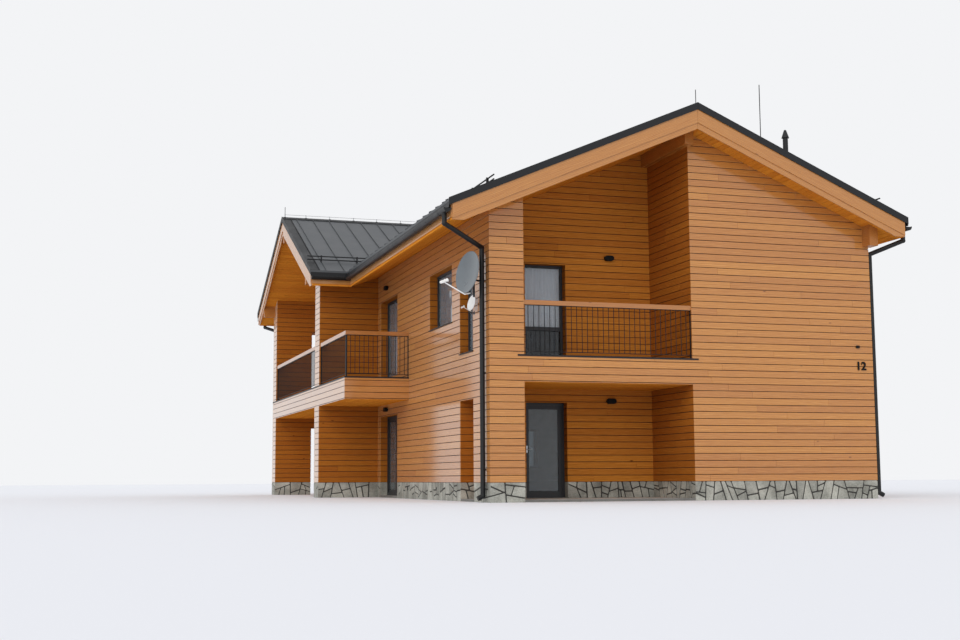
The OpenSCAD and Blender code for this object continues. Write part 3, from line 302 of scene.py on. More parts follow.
def past(axis, at, test="GREATER_THAN"):
    """Turns the grain of what lies past a value of x (axis 0) or y (axis 1)."""
    return lambda tree, place: add(tree, "Math", place[axis], at, operation=test)


def off_cross_eaves(tree, place):
    """Turns the grain of all but the boards along the cross gable's two eaves."""
    near = add(tree, "Math", place[1], NEAR_EAVE, 0.13, operation="COMPARE")
    far = add(tree, "Math", place[1], BACK_EAVE, 0.13, operation="COMPARE")
    either = add(tree, "Math", near, far, operation="MAXIMUM")
    return add(tree, "Math", 1.0, either, operation="SUBTRACT")


DARK_KNOT, RED_KNOT = "5f3312", "744321"
UNOILED = {"coat": 0.0, "fuzz": 0.0}
larch = timber("oiled_larch_cladding", "cd8e47", "ac6d2e", DARK_KNOT, 0.5)
# Paler copy of the oiled larch for the wing's ends: the paler colour is a painted reflection of the pale
# sky at a low angle, while the gloss and sheen are real.
larch_paler_painted_sheen = timber("larch_cladding_paler_painted_sheen", "d29859", "b37a42", DARK_KNOT, 0.5,
                         fuzz=0.5, gloss=0.9)
# Deeper, more saturated copy of the larch for the loggia and the entrance niche: painted shade, standing in
# for the shade and warm bounced light there.
larch_warm_painted_shade = timber("larch_cladding_warm_painted_shade", "d2893a", "ad6924", DARK_KNOT, 0.6,
                         gloss=0.05, **UNOILED)
# Darker copy of the larch with no gloss: painted shade for the loggia's right side, the fins' flanks, the
# passages and the reveals.
shaded_larch = timber("shaded_larch_cladding", "b46e2c", "935419", DARK_KNOT, 0.6,
                      gloss=0.05, **UNOILED)
# Brighter and more saturated than the walls' larch: painted light that stands in for light bounced up from
# the pale ground.
soffit_larch_painted_light = timber("oiled_larch_soffit_painted_light", "ea9a3c", "c97c28", DARK_KNOT, 0.6, gloss=0.0, **UNOILED)
barge_larch = timber("oiled_larch_bargeboards", "c88e4c", "aa6c31", RED_KNOT, 0.5,
                     laid(past(0, -1.5, "LESS_THAN"), True), 0.7, 0.9, 0.05)
eaves_larch = timber("oiled_larch_eaves_boards", "d39a58", "b5783a", RED_KNOT, 0.5,
                     laid(off_cross_eaves), 0.7, 0.8, 0.1)
purlin_larch = timber("oiled_larch_purlins", "bd7b38", "9a5f28", DARK_KNOT, 0.5,
                      laid(past(0, 0.1)), 0.7, 0.3, 0.0)
rail_larch = timber("oiled_larch_handrails", "bd7d3e", "9d622b", DARK_KNOT, 0.45,
                    laid(past(1, BALCONY + 0.1)), 0.7)
inner_boards = timber("planed_spruce_floor", "c9a06b", "b58a57", "7a4f2c", 0.5,
                      laid(past(0, 0.1)), 0.8, 0.3, 0.0)
deck_larch = timber("weathered_larch_decking", "9b7a58", "7f6248", "4a3322", 0.6, coat=0.05, fuzz=0.1)
print("timbers:", sum("larch" in m.name or "spruce" in m.name for m in bpy.data.materials))

# %% [markdown]
# The other finishes. Roof sheet and flashings are aluminium with a matt coil coating, so
# they look dark and dull with a soft sheen and slight waves. Frames and railings have a
# powder coat with fine orange peel, 1 to 3 mm in the real coat and drawn coarser so that
# it shows. Gutters are the same coated sheet, a little glossier. One function makes them
# all, because they differ only in values such as colour, roughness and relief.

# %% Metals and paint
SHEET_RELIEF, COAT_RELIEF = 0.0004, 0.00015


def coated(name, code, rough, peel, wave=0.0, metal=0.0, sheen=0.0, gloss=0.5):
    """Coated metal. peel is the grain of its coat in metres, wave the depth of the sheet's waves."""
    light = tuple(min(255, int(int(code[i:i + 2], 16) * 1.12 + 3)) for i in (0, 2, 4))
    paler = "%02x%02x%02x" % light
    made, tree, shader = surface(name, {
        "Metallic": metal, "Coat Weight": sheen, "Coat Roughness": 0.25, "Specular IOR Level": gloss})
    where = add(tree, "TexCoord").outputs["Object"]
    stain = add(tree, "TexNoise", {0: where, "Scale": 1.7, "Detail": 4.0, "Roughness": 0.6})
    feed(shader, "Base Color", add(tree, "ValToRGB", stain, stops=[(0.3, code), (0.75, paler)]))
    dull = add(tree, "MapRange", stain, 0.3, 0.7, rough - 0.05, rough + 0.07)
    feed(shader, "Roughness", dull)
    height = add(tree, "TexNoise", {0: where, "Scale": 1 / peel, "Detail": 2.0})
    if wave:
        waves = add(tree, "TexNoise", {0: where, "Scale": 1.3, "Detail": 1.0})
        height = add(tree, "Math", waves, wave / SHEET_RELIEF, height, operation="MULTIPLY_ADD")
    relief = SHEET_RELIEF if wave else COAT_RELIEF
    feed(shader, "Normal", add(tree, "Bump", {"Height": height, "Distance": relief}))
    return made


roof_metal = coated("coil_coated_roof_sheet", "4a4c4f", 0.5, 0.012, wave=0.003, metal=0.3)
fold_metal = coated("coil_coated_flashings", "17181a", 0.5, 0.01, gloss=0.35)
gutter_metal = coated("coil_coated_gutters", "131415", 0.45, 0.012, wave=0.001, gloss=0.35)
frame_metal = coated("powder_coated_frames", "2a2c2f", 0.45, 0.006, gloss=0.4)
rail_metal = coated("powder_coated_balusters", "131315", 0.55, 0.006, gloss=0.3)
lamp_body = coated("black_moulded_plastic", "0a0a0b", 0.6, 0.004, gloss=0.2)
dish_paint = coated("satin_grey_dish_paint", "5d6469", 0.3, 0.01, sheen=0.3)
feed_plastic = coated("weathered_white_plastic", "e9e9e4", 0.4, 0.008)
mast_steel = coated("black_painted_steel", "26272a", 0.45, 0.006)
rubber = coated("black_rubber_seals", "141415", 0.6, 0.004)
lever_steel = coated("brushed_steel_levers", "a9abad", 0.3, 0.004, metal=1.0)
wire_steel = coated("galvanised_wire", "9a9c9e", 0.45, 0.004, metal=0.8)
print("finishes so far:", len(bpy.data.materials))

# %% [markdown]
# The plinth is faced with irregular blocks of pale gneiss set in dark mortar. The loggia
# has square stone slabs with thin joints. Inside, the floor is a smooth grey screed and
# the rooms are plastered, which is all that can be seen through the glass. The blocks are
# real shapes further on, because the eye reads their joints. The slabs' joints are too
# fine for that and are only painted.

# %% Stone, screed, mortar and plaster
def stone(name, dark, mid, pale, grain, rough=0.8, depth=0.004):
    """Split or sawn stone: speckle, some times coarser than the real grain, and slow patches."""
    made, tree, shader = surface(name, {"Roughness": rough})
    where = add(tree, "TexCoord").outputs["Object"]
    patch = add(tree, "TexNoise", {0: where, "Scale": 2.6, "Detail": 3.0})
    speck = add(tree, "TexNoise", {0: where, "Scale": 1 / grain, "Detail": 5.0, "Roughness": 0.7})
    blend = add(tree, "Math", patch, 1.3, speck, operation="MULTIPLY_ADD")
    shade = add(tree, "MapRange", blend, 0.8, 1.5)
    feed(shader, "Base Color", add(tree, "ValToRGB", shade, stops=[(0.0, dark), (0.5, mid), (1.0, pale)]))
    feed(shader, "Normal", add(tree, "Bump", {"Height": speck, "Distance": depth}))
    return made, tree, shader


gneiss, tree, shader = stone("split_gneiss_blocks", "77776f", "98988f", "b9b8ae", 0.03)
tone = add(tree, "Attribute", attribute_name="tone").outputs["Fac"]
lightness = add(tree, "MapRange", {0: tone, 3: 0.8, 4: 1.16})
colour_in = shader.inputs["Base Color"].links[0].from_socket
each_block = add(tree, "HueSaturation", {"Value": lightness, "Color": colour_in})
feed(shader, "Base Color", each_block)
mortar = stone("dark_lime_mortar", "32312e", "3e3d3a", "4b4a46", 0.008, 0.95)[0]
screed = stone("grey_floor_screed", "8c8b87", "989793", "a3a29e", 0.02, 0.7, 0.001)[0]

SLAB = 0.5
slabs, tree, shader = stone("sawn_stone_slabs", "a09e98", "b0aea7", "bfbdb6", 0.02, 0.6, 0.001)
x, y, z = house_place(tree)
flat = add(tree, "CombineXYZ", x, y)
joints = add(tree, "TexBrick", {
    0: flat, "Scale": 1.0, "Mortar Size": 0.004, "Brick Width": SLAB, "Row Height": SLAB,
    "Color1": (1, 1, 1, 1), "Color2": (0.9, 0.9, 0.9, 1), "Mortar": (0.35, 0.35, 0.35, 1)}, offset=0.0)
laid_colour = shader.inputs["Base Color"].links[0].from_socket
jointed = add(tree, "Mix", {0: 1.0, 6: laid_colour, 7: joints}, data_type="RGBA", blend_type="MULTIPLY")
feed(shader, "Base Color", jointed.outputs[2])


def between(tree, value, low, high):
    """One where a value lies between two others, else zero."""
    over = add(tree, "Math", value, low, operation="GREATER_THAN")
    under = add(tree, "Math", value, high, operation="LESS_THAN")
    return add(tree, "Math", over, under, operation="MULTIPLY")


SKIN = 0.005
wall_core, tree, shader = surface("joint_shade_and_plaster", {"Roughness": 0.9})
x, y, z = house_place(tree)
in_x = between(tree, x, WALL - SKIN, BODY_W - WALL + SKIN)
in_y = between(tree, y, WALL - SKIN, BODY_L - WALL + SKIN)
in_loggia_x = between(tree, x, -1.0, LOGGIA_R + WALL - SKIN)
in_loggia_y = between(tree, y, -1.0, LOGGIA_BACK + WALL - SKIN)
room = add(tree, "Math", in_x, in_y, operation="MULTIPLY")
loggia = add(tree, "Math", in_loggia_x, in_loggia_y, operation="MULTIPLY")
indoors = add(tree, "Math", room, loggia, operation="SUBTRACT", use_clamp=True)
grains = add(tree, "TexNoise", {"Scale": 60.0, "Detail": 3.0})
# Outside the rooms the walls only show in the open joints between boards: this dark brown is painted shade
# of the joints.
painted_joint_shade = add(tree, "ValToRGB", grains, stops=[(0.3, "2a1d13"), (0.7, "3a291b")])
plaster = add(tree, "ValToRGB", grains, stops=[(0.3, "cbc8c0"), (0.7, "d6d3cb")])
inside = add(tree, "Mix", {0: indoors, 6: painted_joint_shade, 7: plaster}, data_type="RGBA")
feed(shader, "Base Color", inside.outputs[2])
feed(shader, "Normal", add(tree, "Bump", {"Height": grains, "Distance": 0.0006}))
print("finishes so far:", len(bpy.data.materials))

# %% [markdown]
# Insulating glass: grey sun-control panes, darker on the ground floor, and a clear one in
# the upper loggia door, where curtains show. It mirrors the pale sky and lets the dark
# room show through. A little dust makes it hazy, and very slight waves bend what it
# mirrors. The panes of both storeys are one CAD node, so one material tells them apart by
# where a point lies.

# %% Glass
glass, tree, shader = surface("grey_insulating_glass", {
    "Roughness": 0.02, "IOR": 1.5, "Specular IOR Level": 0.5, "Transmission Weight": 0.76})
where = add(tree, "TexCoord").outputs["Object"]
ripples = add(tree, "TexNoise", {0: where, "Scale": 1.1, "Detail": 1.0})
feed(shader, "Normal", add(tree, "Bump", {"Height": ripples, "Distance": 0.006}))
film = add(tree, "TexNoise", {0: where, "Scale": 9.0, "Detail": 4.0})
dark_tint = add(tree, "ValToRGB", film, stops=[(0.3, "909ba1"), (0.7, "9ca7ad")])
grey_tint = add(tree, "ValToRGB", film, stops=[(0.3, "b4c4ce"), (0.7, "c0cfd9")])
clear_tint = add(tree, "ValToRGB", film, stops=[(0.3, "e6eef5"), (0.7, "eef6fc")])
x, y, z = house_place(tree)
upstairs = add(tree, "Math", z, SOFFIT, operation="GREATER_THAN")
by_storey = add(tree, "Mix", {0: upstairs, 6: dark_tint, 7: grey_tint}, data_type="RGBA")
door_x = between(tree, x, *LOGGIA_DOOR)
door_y = between(tree, y, LOGGIA_BACK, LOGGIA_BACK + WALL)
in_door = add(tree, "Math", door_x, door_y, operation="MULTIPLY")
clear = add(tree, "Math", in_door, upstairs, operation="MULTIPLY")
panes = add(tree, "Mix", {0: clear, 6: by_storey.outputs[2], 7: clear_tint}, data_type="RGBA")
feed(shader, "Base Color", panes.outputs[2])
print("finishes so far:", len(bpy.data.materials))

# %% [markdown]
# Each CAD node takes its finish by the start of its name. Walls, slabs and roof decks only
# show between the boards that will cover them, so all that is not named here gets a dark
# brown that paints the shade in the open joints, and plaster indoors. The dishes and
# curtains are drawn anew below.

# %% Finishes on the CAD nodes
finishes = {
    barge_larch: "bargeboards", eaves_larch: "eaves_boards", purlin_larch: "purlins",
    rail_larch: "handrails", inner_boards: "upper_floor", mortar: "plinths", screed: "ground_slab",
    slabs: ("loggia_paving", "thresholds"), roof_metal: ("roof_cover", "cross_cover"),
    fold_metal: ("slab_flashings", "ridge_caps", "verge_flashings", "window_sills", "roof_fittings"),
    gutter_metal: ("gutters", "downpipes"), rail_metal: "railings", lamp_body: "wall_lamps",
    frame_metal: ("window_frames", "door_frames", "loggia_door_leaf", "side_door_leaf"),
    lever_steel: ("loggia_door_handle", "side_door_handle"),
    glass: ("window_panes", "loggia_door_pane", "side_door_pane"),
}
redrawn = ("dish_antennas", "curtains")
for name, node in nodes.items():
    if name in redrawn:
        continue
    materials = node.data.materials
    finish = next((one for one, starts in finishes.items() if name.startswith(starts)), wall_core)
    if not materials:
        materials.append(finish)
    for number in range(len(materials)):
        materials[number] = finish
print("nodes with a finish:", len(nodes) - len(redrawn), "of", len(nodes))

# %% [markdown]
# A board is a flat closed prism with its long edges eased. It could be a stretched cube
# with a bevel, but a cube can't follow a roof line. So it starts as an outline on the
# wall: corners (s, t, soft), where soft says that the edge that begins there is eased.
# Roof lines cut outlines, and a place function turns them into house points.

# %% Board kit
EASE = 0.0025


def plane(origin, along, up, out):
    """A place function: s along, t up and d out from a plane through origin."""
    start = Vector(origin) + CORNER

    def place(s, t, d):
        return start + along * s + up * t + out * d
    place.flip = along.cross(up).dot(out) < 0
    return place


def upright(at, out):
    """The place function of an upright face that looks out, at metres along that direction's axis."""
    return plane(Vector((abs(out.x), abs(out.y), 0)) * at, Y if out.x else X, Z, out)


def store():
    """An empty piece: its points and faces, and a place on the grain and a tone for each point."""
    return {"points": [], "faces": [], "grain": [], "tone": []}


def clip(outline, a, b, c, soft_cut=False):
    """Keeps the part of a convex outline where a*s + b*t is at most c."""
    kept = []
    for i, (s, t, soft) in enumerate(outline):
        s2, t2, _ = outline[(i + 1) % len(outline)]
        here, there = a * s + b * t - c, a * s2 + b * t2 - c
        if here <= 0:
            kept.append((s, t, soft))
        if (here < 0 < there) or (there < 0 < here):
            k = here / (here - there)
            kept.append((s + k * (s2 - s), t + k * (t2 - t), soft if here > 0 else soft_cut))
    return kept


def corners(s0, s1, t0, t1):
    """A rectangle's corners in order."""
    return [(s0, t0), (s1, t0), (s1, t1), (s0, t1)]


def edged(ring, soft=True):
    """A ring of points as an outline whose edges are all eased, or all sharp."""
    return [point + (soft,) for point in ring]


def area(outline):
    """The area inside an outline."""
    return sum(outline[i - 1][0] * p[1] - p[0] * outline[i - 1][1] for i, p in enumerate(outline)) / 2


def inset(outline, amount):
    """The outline's ring with its soft edges moved in by amount."""
    lines = []
    for i, (s, t, soft) in enumerate(outline):
        s2, t2, _ = outline[(i + 1) % len(outline)]
        long = math.hypot(s2 - s, t2 - t)
        a, b = (t2 - t) / long, (s - s2) / long
        lines.append((a, b, a * s + b * t - (amount if soft else 0)))
    ring = []
    for i, (s, t, soft) in enumerate(outline):
        (a, b, c), (a2, b2, c2) = lines[i - 1], lines[i]
        turn = a * b2 - a2 * b
        if abs(turn) < 1e-5:
            ring.append((s, t))
        else:
            ring.append(((c * b2 - c2 * b) / turn, (a * c2 - a2 * c) / turn))
    return ring


def prism(made, place, rings, grain=None, tone=None):
    """A closed solid through rings of equal length, each ((s, t) points, depth). grain maps (s, t)."""
    first, n = len(made["points"]), len(rings[0][0])
    for ring, depth in rings:
        for s, t in ring:
            made["points"].append(place(s, t, depth))
            if grain:
                made["grain"].append(grain(s, t))
                made["tone"].append(tone)
    faces = [tuple(range(first + n - 1, first - 1, -1))]
    for k in range(len(rings) - 1):
        low, high = first + k * n, first + (k + 1) * n
        faces += [(low + i, low + (i + 1) % n, high + (i + 1) % n, high + i) for i in range(n)]
    last = first + (len(rings) - 1) * n
    faces.append(tuple(range(last, last + n)))
    made["faces"] += [tuple(reversed(f)) for f in faces] if place.flip else faces


def board(made, place, outline, thick, tone, start):
    """One board with an outline, unless it is smaller than 4 square centimetres."""
    clean = [p for i, p in enumerate(outline) if math.dist(p[:2], outline[i - 1][:2]) > 1e-5]
    if len(clean) < 3 or area(clean) < 4e-4:
        return
    edge = [(s, t) for s, t, soft in clean]
    rings = [(edge, 0.0), (edge, thick - EASE), (inset(clean, EASE), thick)]
    prism(made, place, rings, lambda s, t: (s + start[0], t + start[1]), tone)


def finished(made, name, finish, smooth=False, body="house"):
    """Turns a store into one joined piece that rides on a body."""
    mesh = bpy.data.meshes.new(name)
    mesh.from_pydata(made["points"], [], made["faces"])
    if made["grain"]:
        layer = mesh.uv_layers.new(name="grain")
        for loop in mesh.loops:
            layer.data[loop.index].uv = made["grain"][loop.vertex_index]
        mesh.attributes.new("tone", "FLOAT", "POINT").data.foreach_set("value", made["tone"])
    else:
        shell = bmesh.new()
        shell.from_mesh(mesh)
        bmesh.ops.recalc_face_normals(shell, faces=shell.faces)
        shell.to_mesh(mesh)
        shell.free()
    mesh.polygons.foreach_set("use_smooth", [smooth] * len(mesh.polygons))
    mesh.materials.append(finish)
    piece = bpy.data.objects.new(name, mesh)
    bpy.context.scene.collection.objects.link(piece)
    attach(piece, body)
    print(name, "triangles:", sum(len(f.vertices) - 2 for f in mesh.polygons))
    return piece


# %% [markdown]
# Cladding is laid in courses of 145 mm from the top of the plinth, and the courses meet
# round every corner and in every reveal. The open joints are what draws the walls. Rows
# are cut at openings and roof lines, and have butt joints about every four metres. An
# array would repeat one board, so each row is laid by itself, with its own butts and tones.

# %% Courses of boards
COURSE, JOINT, BOARD, BUTT = 0.145, 0.013, 0.012, 0.0015
LENGTH = 4.0
SHORTEST, THINNEST, BUTT_FROM_END = 0.008, 0.003, 0.3
TOUCH = 1e-6


def left_over(span, blocked):
    """What is left of a span once blocked stretches are taken out."""
    free = [span]
    for low, high in blocked:
        free = [part for a, b in free for part in ((a, min(b, low)), (max(a, high), b))
                if part[1] - part[0] > TOUCH]
    return free


def courses(made, place, span, levels, limits=(), holes=(), pitch=COURSE, joint=JOINT, thick=BOARD,
            first=PLINTH, seed=0):
    """Rows of boards on a face. holes are (s0, s1, t0, t1), and limits are half-planes for clip."""
    draw = random.Random(seed)
    low_row = math.floor((levels[0] - first) / pitch + TOUCH)
    high_row = math.ceil((levels[1] - first) / pitch - TOUCH)
    lengths = int((span[1] - span[0] + 2) / LENGTH) + 2
    for row in range(low_row, high_row):
        shift = draw.uniform(0, LENGTH)
        cut = [span[0] - 1 + shift + k * LENGTH for k in range(-1, lengths)]
        tones = [draw.random() for _ in range(len(cut) + 1)]
        starts = [(draw.uniform(0, 40), draw.uniform(0, 40)) for _ in range(len(cut) + 1)]
        low = max(first + row * pitch + joint / 2, levels[0])
        high = min(first + (row + 1) * pitch - joint / 2, levels[1])
        if high - low < SHORTEST:
            continue
        steps = sorted({low, high} | {t for hole in holes for t in hole[2:] if low < t < high})
        for b0, b1 in zip(steps, steps[1:]):
            if b1 - b0 < THINNEST:
                continue
            blocked = [hole[:2] for hole in holes if hole[2] < b1 - TOUCH and hole[3] > b0 + TOUCH]
            for a, b in left_over(span, blocked):
                ends = [a] + [c for c in cut if a + BUTT_FROM_END < c < b - BUTT_FROM_END] + [b]
                for s0, s1 in zip(ends, ends[1:]):
                    s0 += BUTT if s0 != a else 0
                    s1 -= BUTT if s1 != b else 0
                    if s1 - s0 < SHORTEST:
                        continue
                    outline = [(s0, b0, b0 == low), (s1, b0, True),
                               (s1, b1, b1 == high), (s0, b1, True)]
                    for limit in limits:
                        outline = clip(outline, *limit)
                    if len(outline) > 2:
                        which = sum(c < (s0 + s1) / 2 for c in cut)
                        board(made, place, outline, thick, tones[which], starts[which])


def under(slope, mid, top, side):
    """The half-plane under one slope of a roof: z + side * slope * (s - mid) <= top."""
    return (side * slope, 1.0, top - ROOF_V - BOARD + side * slope * mid)


MAIN_LIMITS = [under(MAIN_T, MID_X, RIDGE, side) for side in (-1, 1)]
CROSS_LIMITS = [under(CROSS_T, CROSS_Y, CROSS_RIDGE, side) for side in (-1, 1)]
TOP = 9.0


def hole(span, low, high):
    """An opening in the cladding. The linings of its reveal are covered by the boards' ends."""
    return (span[0] + BOARD, span[1] - BOARD, low, high - BOARD)


def over_main(x):
    """The top of the boards under the main roof at x."""
    return RIDGE - MAIN_T * abs(x - MID_X) - ROOF_V - BOARD


print("courses from the plinth to the upper doors' heads:", round((UPPER_HEAD - PLINTH) / COURSE, 1))

# %% [markdown]
# Now the walls, one joined piece for each side. The front has two loggia openings. The
# left wall is crossed by the balcony slab and the near fin, and rises into the cross
# gable. The right and back walls repeat the storeys with plain windows.

# %% Wall boards
HALF_WIDE = 0.925
RIGHT_WINDOWS = [(BODY_L * k - HALF_WIDE, BODY_L * k + HALF_WIDE) for k in (0.2, 0.5, 0.8)]
BACK_WINDOWS = [(BODY_W * k - HALF_WIDE, BODY_W * k + HALF_WIDE) for k in (0.28, 0.72)]
STOREYS = [(FLOOR + SILL, DOOR_HEAD), (UPPER_FLOOR + SILL, UPPER_HEAD)]
UPSTAIRS = [(ENTRY, UPPER_FLOOR), (WIDE, UPPER_FLOOR + SILL), (SIDE_DOOR, UPPER_FLOOR), (BAY, UPPER_FLOOR)]

made = store()
front = upright(0, -Y)
front_holes = [(LOGGIA_L + BOARD, LOGGIA_R - BOARD, -1, SOFFIT - BOARD),
               (LOGGIA_L + BOARD, LOGGIA_R - BOARD, DECK, TOP)]
courses(made, front, (-BOARD, BODY_W + BOARD), (PLINTH, TOP), MAIN_LIMITS, front_holes, seed=11)
finished(made, "cladding_front", larch)

made = store()
left = upright(0, -X)
left_holes = [hole(span, low, UPPER_HEAD) for span, low in UPSTAIRS]
left_holes += [hole(span, -1, DOOR_HEAD) for span in (ENTRY, SIDE_DOOR, BAY)]
left_holes += [(BALCONY, BODY_L, SOFFIT, DECK), FIN_NEAR + (-1, TOP),
               FIN_FAR + (DOOR_HEAD, SOFFIT), FIN_FAR + (UPPER_HEAD, TOP)]
courses(made, left, (0, VALLEY_Y), (PLINTH, over_main(0)), (), left_holes, seed=12)
courses(made, left, (VALLEY_Y, BODY_L), (PLINTH, TOP), CROSS_LIMITS, left_holes, seed=13)
finished(made, "cladding_left", larch)

made = store()
right = upright(BODY_W, X)
right_holes = [hole(span, *storey) for span in RIGHT_WINDOWS for storey in STOREYS]
courses(made, right, (0, BODY_L), (PLINTH, over_main(0)), (), right_holes, seed=14)
finished(made, "cladding_right", larch)

made = store()
back = upright(BODY_L, Y)
back_holes = [hole(span, *storey) for span in BACK_WINDOWS for storey in STOREYS]
courses(made, back, (0, BODY_W + BOARD), (PLINTH, TOP), MAIN_LIMITS, back_holes, seed=15)
finished(made, "cladding_back", larch)

# %% [markdown]
# The loggia is boarded on its back and round the corner pier, on both storeys, with the
# slab between. Its boards lie in shade, which is painted into their colour as a deeper,
# warmer tone, so they are a piece of their own. Its right side gets darker painted shade
# still and comes with the wing.

# %% Loggia boards
made = store()
doors = [hole(LOGGIA_DOOR, -1, DOOR_HEAD), hole(LOGGIA_DOOR, UPPER_FLOOR, UPPER_HEAD)]
gates = [hole(ENTRY, -1, DOOR_HEAD), hole(ENTRY, UPPER_FLOOR, UPPER_HEAD)]
for low, high, tag in ((PLINTH, SOFFIT - BOARD, 20), (DECK, TOP, 30)):
    courses(made, upright(LOGGIA_BACK, -Y), (WALL, LOGGIA_R), (low, high), MAIN_LIMITS, doors, seed=tag)
    courses(made, upright(LOGGIA_L, X), (0, WALL), (low, min(high, over_main(LOGGIA_L))), seed=tag + 2)
    courses(made, upright(WALL, Y), (WALL, LOGGIA_L + BOARD), (low, high), MAIN_LIMITS, seed=tag + 3)
    courses(made, upright(WALL, X), (WALL + BOARD, LOGGIA_BACK - BOARD),
            (low, min(high, over_main(WALL))), (), gates, seed=tag + 4)
finished(made, "cladding_loggia", larch_warm_painted_shade)

# %% [markdown]
# The wing is a pair of thick fins that carry the balcony and the cross gable. Their ends
# and the balcony's edge are seen at a low angle. Their boards get more gloss and sheen,
# and a paler colour that paints part of the pale sky's reflection. Their flanks lie deep
# under the gable, like the loggia's right side, and get a darker colour with no gloss,
# which is painted shade. Each kind is a piece of its own.

# %% Wing boards
made = store()
wing_end = upright(WING, -X)
gaps = [(BALCONY - 1, FIN_NEAR[0] - BOARD), (FIN_NEAR[1] + BOARD, FIN_FAR[0] - BOARD)]
wing_holes = [gap + level for gap in gaps for level in ((-1, SOFFIT - BOARD), (DECK, TOP))]
courses(made, wing_end, (BALCONY - BOARD, BODY_L + BOARD), (PLINTH, TOP), CROSS_LIMITS, wing_holes, seed=41)
finished(made, "cladding_wing_edge", larch_paler_painted_sheen)


def fin_roof(y, out):
    """The top of the boards on a fin's flank at y."""
    return CROSS_RIDGE - CROSS_T * abs(y + out.y * BOARD - CROSS_Y) - ROOF_V - BOARD


made = store()
courses(made, upright(BALCONY, -Y), (WING, 0), (SOFFIT - BOARD, DECK), seed=42)
passages = [(PASSAGE + BOARD, 0, -1, DOOR_HEAD - BOARD), (PASSAGE + BOARD, 0, DECK, UPPER_HEAD - BOARD)]
courses(made, upright(BODY_L, Y), (WING, 0), (PLINTH, fin_roof(BODY_L, Y)), (), passages, seed=46)
finished(made, "cladding_wing", larch)

made = store()
for low, high, tag in ((PLINTH, SOFFIT - BOARD, 21), (DECK, over_main(MID_X), 31)):
    courses(made, upright(LOGGIA_R, -X), (0, LOGGIA_BACK - BOARD), (low, high), seed=tag)
flanks = [(FIN_NEAR[0], -Y, [], 43), (FIN_NEAR[1], Y, [], 44), (FIN_FAR[0], -Y, passages, 45)]
for y, out, openings, seed in flanks:
    for low, high in ((PLINTH, SOFFIT - BOARD), (DECK, fin_roof(y, out))):
        courses(made, upright(y, out), (WING, 0), (low, high), (), openings, seed=seed)
for low, high in ((PLINTH, DOOR_HEAD), (DECK, UPPER_HEAD)):
    courses(made, upright(PASSAGE, X), FIN_FAR, (low, high), seed=47)
    head = plane((0, 0, high), X, Y, -Z)
    courses(made, head, (PASSAGE + BOARD, 0), FIN_FAR, first=FIN_FAR[0], pitch=0.15, seed=48)
finished(made, "cladding_shaded", shaded_larch)

# %% [markdown]
# Reveals: the jambs of every opening are lined with short boards on the same courses,
# and a wide board closes the head. They could belong to the walls, but they lie in shade,
# so they are one piece with the darker finish that paints that shade.

# %% Linings
made = store()


def jambs(origin, along, inward, span):
    """The place functions of an opening's two jambs, in a wall that faces against inward."""
    return [plane(Vector(origin) + along * at, inward, Z, face) for at, face in zip(span, (along, -along))]


def line(origin, along, inward, span, low, high, depth, seed):
    """Lines the jambs and the head of an opening."""
    for place in jambs(origin, along, inward, span):
        courses(made, place, (0, depth), (low, high), seed=seed)
    head = plane(Vector(origin) + Z * high, along, inward, -Z)
    courses(made, head, (span[0] + BOARD, span[1] - BOARD), (0, depth), pitch=depth, joint=0,
            first=0, seed=seed)


LEAF_FACE = WALL - 0.06    # the entrance's leaf is 60 mm thick
line((0, 0, 0), Y, X, ENTRY, PLINTH, DOOR_HEAD, LEAF_FACE, 60)
for span, low in UPSTAIRS:
    line((0, 0, 0), Y, X, span, low, UPPER_HEAD, REVEAL, 61)
for span in (SIDE_DOOR, BAY):
    line((0, 0, 0), Y, X, span, PLINTH, DOOR_HEAD, REVEAL, 62)
for low, high in ((PLINTH, DOOR_HEAD), (UPPER_FLOOR, UPPER_HEAD)):
    line((0, LOGGIA_BACK, 0), X, Y, LOGGIA_DOOR, low, high, REVEAL, 63)
for low, high in STOREYS:
    for span in RIGHT_WINDOWS:
        line((BODY_W, 0, 0), Y, -X, span, low, high, REVEAL, 64)
    for span in BACK_WINDOWS:
        line((0, BODY_L, 0), X, -Y, span, low, high, REVEAL, 65)
line((WALL, 0, 0), Y, -X, ENTRY, UPPER_FLOOR, UPPER_HEAD, WALL - REVEAL - FRAME_D, 66)
finished(made, "reveal_linings", shaded_larch)

# %% [markdown]
# The side entrance's leaf lies deep in the wall. It is faced on both sides with upright
# planks 114 mm wide, and has a plain pull bar outside. The function that lays the walls
# lays the planks too, on a plane whose rows stand upright.

# %% Entrance planks
PLANK, PLANK_JOINT = 0.118, 0.004
made = store()
for face in (plane((LEAF_FACE, 0, 0), Z, Y, -X), plane((WALL, 0, 0), Z, Y, X)):
    courses(made, face, (FLOOR + 0.01, DOOR_HEAD - BOARD), (ENTRY[0] + BOARD, ENTRY[1] - BOARD),
            pitch=PLANK, joint=PLANK_JOINT, first=ENTRY[0] + BOARD, seed=67)
# The planks take the finish with painted shade, because they lie deep in the niche.
finished(made, "entry_planks", larch_warm_painted_shade)

# %% [markdown]
# The plinth is faced with flat polygonal flags of pale gneiss, with straight sides 15 to
# 40 cm long and dark joints about 3 cm wide. A strip of wall is cracked in two again and
# again, each time roughly across its longer side, until the flags are small enough.
# Every flag then loses its sharp corners and gets an eased edge and a tone of its own.
# A pattern in the material would look flat where a corner shows the stones from the side.

# %% Plinth flags
T, FLAG_JOINT, FLAG_CORNER, FLAG_EASE = 0.010, 0.030, 0.014, 0.003    # T is a flag's thickness
FLAG_AREA = (0.02, 0.105)
SMALLEST_FLAG = 0.004


